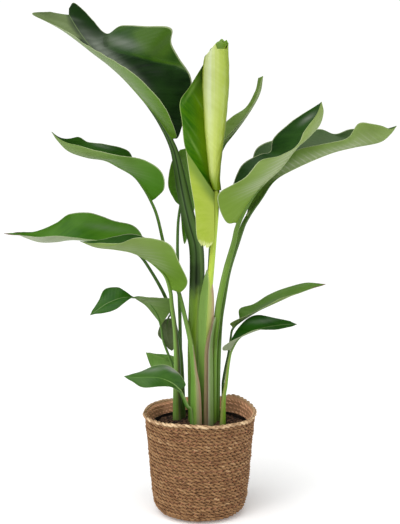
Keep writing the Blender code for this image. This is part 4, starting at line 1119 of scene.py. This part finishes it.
def make_basket():
    """Rings of cord in three pieces, base to top, on a thin lining that closes the gaps between them."""
    rng = np.random.default_rng(21)
    grass = grass_material("seagrass", ((0.165, 0.074, 0.025), (0.285, 0.150, 0.060), (0.52, 0.34, 0.175)),
                           (0.045, 0.016, 0.004), (0.95, 0.50, 0.28))
    places = list(enumerate(wall_places()))
    third = len(places) // 3
    groups = (places[:third], places[third:2 * third], places[2 * third:])
    for k, group in enumerate(groups):
        item = join_cords("basket_rows_%d" % (k + 1), group, rng, STRAND, TWIST_RADIUS, TWIST_LENGTH)
        finish_piece(item, ["basket"] if k == 0 else [], grass)
    inset = TWIST_RADIUS + STRAND
    outline = [(1 * MM, inset)] + [(r * MM - inset, max(z * MM, inset)) for r, z in BASKET_OUTER]
    outline.append((RIM_RADIUS * MM - 2 * MM, 223 * MM))
    inner = [(r - 0.8 * MM, z + 0.8 * MM) for r, z in reversed(outline)]
    # the lining takes part of the painted gap shade through deep and part of the brightened inner tone
    # through inner
    lining = lathe("basket_lining", outline + inner, 96,
                   {"shade": 0.4, "metres": 0.0, "around": 0.0, "deep": 0.6, "inner": 0.7}, True)
    finish_piece(lining, [], grass)


RIM_OVER = 1.4 * MM                 # how far the rim's rope is moved out past its CAD ring
RIM_CORD = (2.5 * MM, 2.0 * MM, 30 * MM)


def make_rim():
    """A pale rope of two thick strands laid round the top edge, a little uneven."""
    rng = np.random.default_rng(5)
    pale = grass_material("seagrass_pale", ((0.34, 0.20, 0.10), (0.66, 0.47, 0.27), (0.88, 0.70, 0.45)),
                          (0.13, 0.07, 0.03), (0.55, 0.34, 0.18), 0.6)
    low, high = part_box("basket_rim")
    middle = (low.z + high.z) / 2
    item = join_cords("basket_rim_rope", [(3, (RIM_RADIUS * MM + RIM_OVER, middle))], rng, *RIM_CORD)
    finish_piece(item, ["basket_rim"], pale)


# ---- Grow pot and soil
def make_pot():
    """A thin plastic pot with a rolled lip, as wide and high as the CAD's."""
    low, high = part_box("grow_pot")
    floor, top, lip = low.z, high.z, high.x
    wall, foot, mouth = 1.6 * MM, 76 * MM, lip - 4 * MM
    outline = [(1 * MM, floor), (foot - 2 * MM, floor), (foot, floor + 2 * MM),
               (mouth - 1 * MM, top - 9 * MM), (lip - 0.6 * MM, top - 8 * MM), (lip, top - 6 * MM),
               (lip, top - 1 * MM), (lip - 1 * MM, top), (mouth - wall + 1 * MM, top),
               (mouth - wall, top - 1 * MM), (foot - wall, floor + wall + 1 * MM),
               (foot - wall - 2 * MM, floor + wall), (1 * MM, floor + wall)]
    item = lathe("grow_pot_shell", outline, 128)
    finish_piece(item, ["grow_pot"], pot_material())


HEAPS = 60                          # low heaps and hollows in the soil
MOUND = 4.0 * MM                    # how much the soil rises round the clump
SOIL_FOOT = 72 * MM                 # radius of the soil at the bottom of the pot
SPLINTERS = 760                     # bark pieces strewn over the soil


def make_soil():
    """The bed of soil, level at the pot's wall, with a mound round the clump."""
    low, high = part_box("soil")
    reach = high.x - 1.2 * MM       # clear of the pot's wall
    rings, steps = 70, 220
    rng = np.random.default_rng(12)
    radii = np.linspace(0.5 * MM, reach, rings)
    theta = angles(steps)
    x = radii[:, None] * np.cos(theta)
    y = radii[:, None] * np.sin(theta)
    z = np.full_like(x, high.z + 1.0 * MM)
    for _ in range(HEAPS):
        cx, cy = rng.uniform(-reach, reach, 2)
        size = rng.uniform(4, 14) * MM
        z += rng.uniform(-1.6, 2.2) * MM * np.exp(-((x - cx) ** 2 + (y - cy) ** 2) / size ** 2)
    z += MOUND * np.exp(-(np.hypot(x - 5 * MM, y) / (55 * MM)) ** 2)
    z += rng.uniform(-0.5, 0.5, z.shape) * MM
    level = ((radii / reach) ** 14)[:, None]
    z = z * (1 - level) + (high.z - 1.5 * MM) * level
    top = np.stack([x, y, z], axis=-1)
    base = np.stack([np.stack([r * np.cos(theta), r * np.sin(theta), np.full(steps, low.z)], axis=-1)
                     for r in (SOIL_FOOT, 0.5 * MM)])
    points = np.concatenate([top, base])
    item = face_out(mesh_object("soil_bed", points.reshape(-1, 3), lathe_faces(len(points), steps)))
    finish_piece(item, ["soil"], soil_material())
    strew_bark(rng, radii, z)


def strew_bark(rng, radii, heights):
    """Flat, bent splinters on the bed, whose heights are given at radii and evenly round it."""
    verts, faces, shade = [], [], []
    start, reach, steps = 0, radii[-1], heights.shape[1]
    for _ in range(SPLINTERS):
        r = reach * math.sqrt(rng.uniform(0, 1)) * 0.985
        a = rng.uniform(0, 2 * math.pi)
        cx, cy = r * math.cos(a), r * math.sin(a)
        near = np.argmin(np.abs(radii - r))
        cz = heights[near, int(a / (2 * math.pi) * steps) % steps]
        size = np.array([rng.uniform(3, 11), rng.uniform(1.6, 5), rng.uniform(0.8, 2.4)]) * MM / 2
        corners = np.array([(i, j, k) for i in (-1, 0, 1) for j in (-1, 1) for k in (-1, 1)], float)
        corners *= size * rng.uniform(0.7, 1.15, (12, 3))
        yaw, pitch, roll = rng.uniform(0, 2 * math.pi), rng.normal(0, 0.3), rng.normal(0, 0.3)
        cyaw, syaw, cp, sp = math.cos(yaw), math.sin(yaw), math.cos(pitch), math.sin(pitch)
        cr, sr = math.cos(roll), math.sin(roll)
        turn = (np.array([[cyaw, -syaw, 0], [syaw, cyaw, 0], [0, 0, 1]])
                @ np.array([[cp, 0, sp], [0, 1, 0], [-sp, 0, cp]])
                @ np.array([[1, 0, 0], [0, cr, -sr], [0, sr, cr]]))
        verts.append(corners @ turn.T + (cx, cy, cz + size[2] * 0.5))
        for base in (0, 4):
            sides = [(0, 1, 5, 4), (2, 6, 7, 3), (0, 4, 6, 2), (1, 3, 7, 5)]
            faces += [[start + base + i for i in quad] for quad in sides]
        faces += [[start + i for i in (0, 2, 3, 1)], [start + i for i in (8, 9, 11, 10)]]
        shade += [rng.uniform(0, 1) ** 1.1] * 12
        start += 12
    item = face_out(mesh_object("bark_pieces", np.vstack(verts), faces, {"shade": shade}, smooth=False))
    finish_piece(item, [], bark_material())


# ---- Floor, light and camera
SURROUND = 0.30                     # how strongly the white surround lights the plant
BACKDROP = 1.05                     # how bright the surround itself shows
FLOOR_GLOW = 0.12                   # keeps the floor as white as the surround
FOCAL = 66.4                        # millimetres, for a 36 mm sensor


def make_stage():
    mesh = bpy.data.meshes.new("floor")
    mesh.from_pydata([(-9, -9, 0), (9, -9, 0), (9, 9, 0), (-9, 9, 0)], [], [(0, 1, 2, 3)])
    floor = add_object("floor", mesh)
    p = Paint("floor")
    grain = p.noise(p.where(), 3.0)
    floor_paint = p.set(colour=p.mix(grain, (0.90, 0.90, 0.90), (0.94, 0.94, 0.94)), rough=0.9, specular=0.0)
    p.shader.inputs["Emission Color"].default_value = (1.0, 1.0, 1.0, 1.0)
    p.shader.inputs["Emission Strength"].default_value = FLOOR_GLOW
    mesh.materials.append(floor_paint)


def look(item, place, aim):
    """Puts a lamp or camera at a place, aimed at a point."""
    item.location = place
    item.rotation_euler = (Vector(aim) - Vector(place)).to_track_quat("-Z", "Y").to_euler()


def make_lights():
    """Soft studio light: an even white surround that shows brighter than it lights, and a broad key."""
    bpy.context.scene.view_settings.view_transform = "Standard"
    world = bpy.data.worlds.new("studio")
    bpy.context.scene.world = world
    world.use_nodes = True
    tree = world.node_tree
    back = tree.nodes["Background"]
    back.inputs[0].default_value = (1.0, 1.0, 1.0, 1.0)
    path = tree.nodes.new("ShaderNodeLightPath")
    level = tree.nodes.new("ShaderNodeMapRange")
    level.inputs["To Min"].default_value = SURROUND
    level.inputs["To Max"].default_value = BACKDROP
    tree.links.new(path.outputs["Is Camera Ray"], level.inputs["Value"])
    tree.links.new(level.outputs[0], back.inputs[1])
    sun = bpy.data.lights.new("key_sun", "SUN")
    sun.energy = 2.7
    sun.angle = math.radians(70)    # wide, for soft shadows
    look(add_object("key_sun", sun), (0, 0, 0), (0.35, 0.6, -1.2))
    for name, place, aim_z, size, watts in (
            ("front_left", (-1.7, -2.2, 1.6), 0.6, (0.9, 1.6), 18),
            ("front_right", (2.0, -1.9, 1.0), 0.6, (0.8, 1.4), 8),
            ("side_left", (-2.2, -0.5, 0.5), 0.4, (0.8, 1.4), 10),
            ("side_right", (2.2, -0.4, 0.5), 0.4, (0.8, 1.4), 18)):
        lamp = bpy.data.lights.new(name, "AREA")
        lamp.shape = "RECTANGLE"
        lamp.size, lamp.size_y = size
        lamp.energy = watts
        look(add_object(name, lamp), place, (0, 0, aim_z))


def make_camera():
    lens = bpy.data.cameras.new("view")
    lens.sensor_width = 36.0
    lens.lens = FOCAL
    lens.clip_start = 0.05
    item = add_object("view", lens)
    look(item, (0, -2.1, 0.8), (0, 0, 0.56))
    bpy.context.scene.camera = item


# ---- The object
CHANNELLED = ("top_left", "right_front", "right_back", "left_front")     # the stalks with a deep channel
DRY_SHEATH = [(0.0, (0.22, 0.17, 0.08)), (0.22, (0.115, 0.072, 0.035)), (0.42, (0.27, 0.22, 0.16)),
              (0.62, (0.28, 0.30, 0.19)), (0.95, (0.12, 0.20, 0.05))]
FRONT_SHEATH = [(0.0, (0.10, 0.23, 0.022)), (0.45, (0.18, 0.31, 0.045)), (0.72, (0.22, 0.31, 0.07)),
                (0.86, (0.24, 0.24, 0.11)), (1.0, (0.25, 0.16, 0.09))]
INNER_SHEATH = [(0.1, (0.12, 0.22, 0.03)), (0.40, (0.17, 0.29, 0.05)), (0.68, (0.32, 0.45, 0.08)),
                (0.88, (0.34, 0.38, 0.10)), (0.98, (0.32, 0.24, 0.13))]

make_camera()
make_stage()
make_lights()
make_basket()
make_rim()
make_pot()
make_soil()
for number, (leaf_name, leaf) in enumerate(LEAVES.items()):
    make_leaf(leaf_name, leaf, 31 * number + 5)
    make_stalk(leaf_name, leaf["stalk"], leaf["widths"], leaf, seed=number,
               groove=0.22 if leaf_name in CHANNELLED else 0.08, groove_turn=math.radians(300))
make_new_leaf()
make_sheath("stem_sheath_dry", ["stem_sheath"], SHEATH_NEAR, SHEATH_MID, SHEATH_FAR,
            sheath_material("dry_sheath", DRY_SHEATH))
make_sheath("stem_sheath_front", [], FRONT_SHEATH_LEFT, FRONT_SHEATH_MID, FRONT_SHEATH_RIGHT,
            sheath_material("front_sheath", FRONT_SHEATH))
make_sheath("stem_sheath_inner", [], INNER_SHEATH_LEFT, INNER_SHEATH_MID, INNER_SHEATH_RIGHT,
            sheath_material("inner_sheath", INNER_SHEATH))
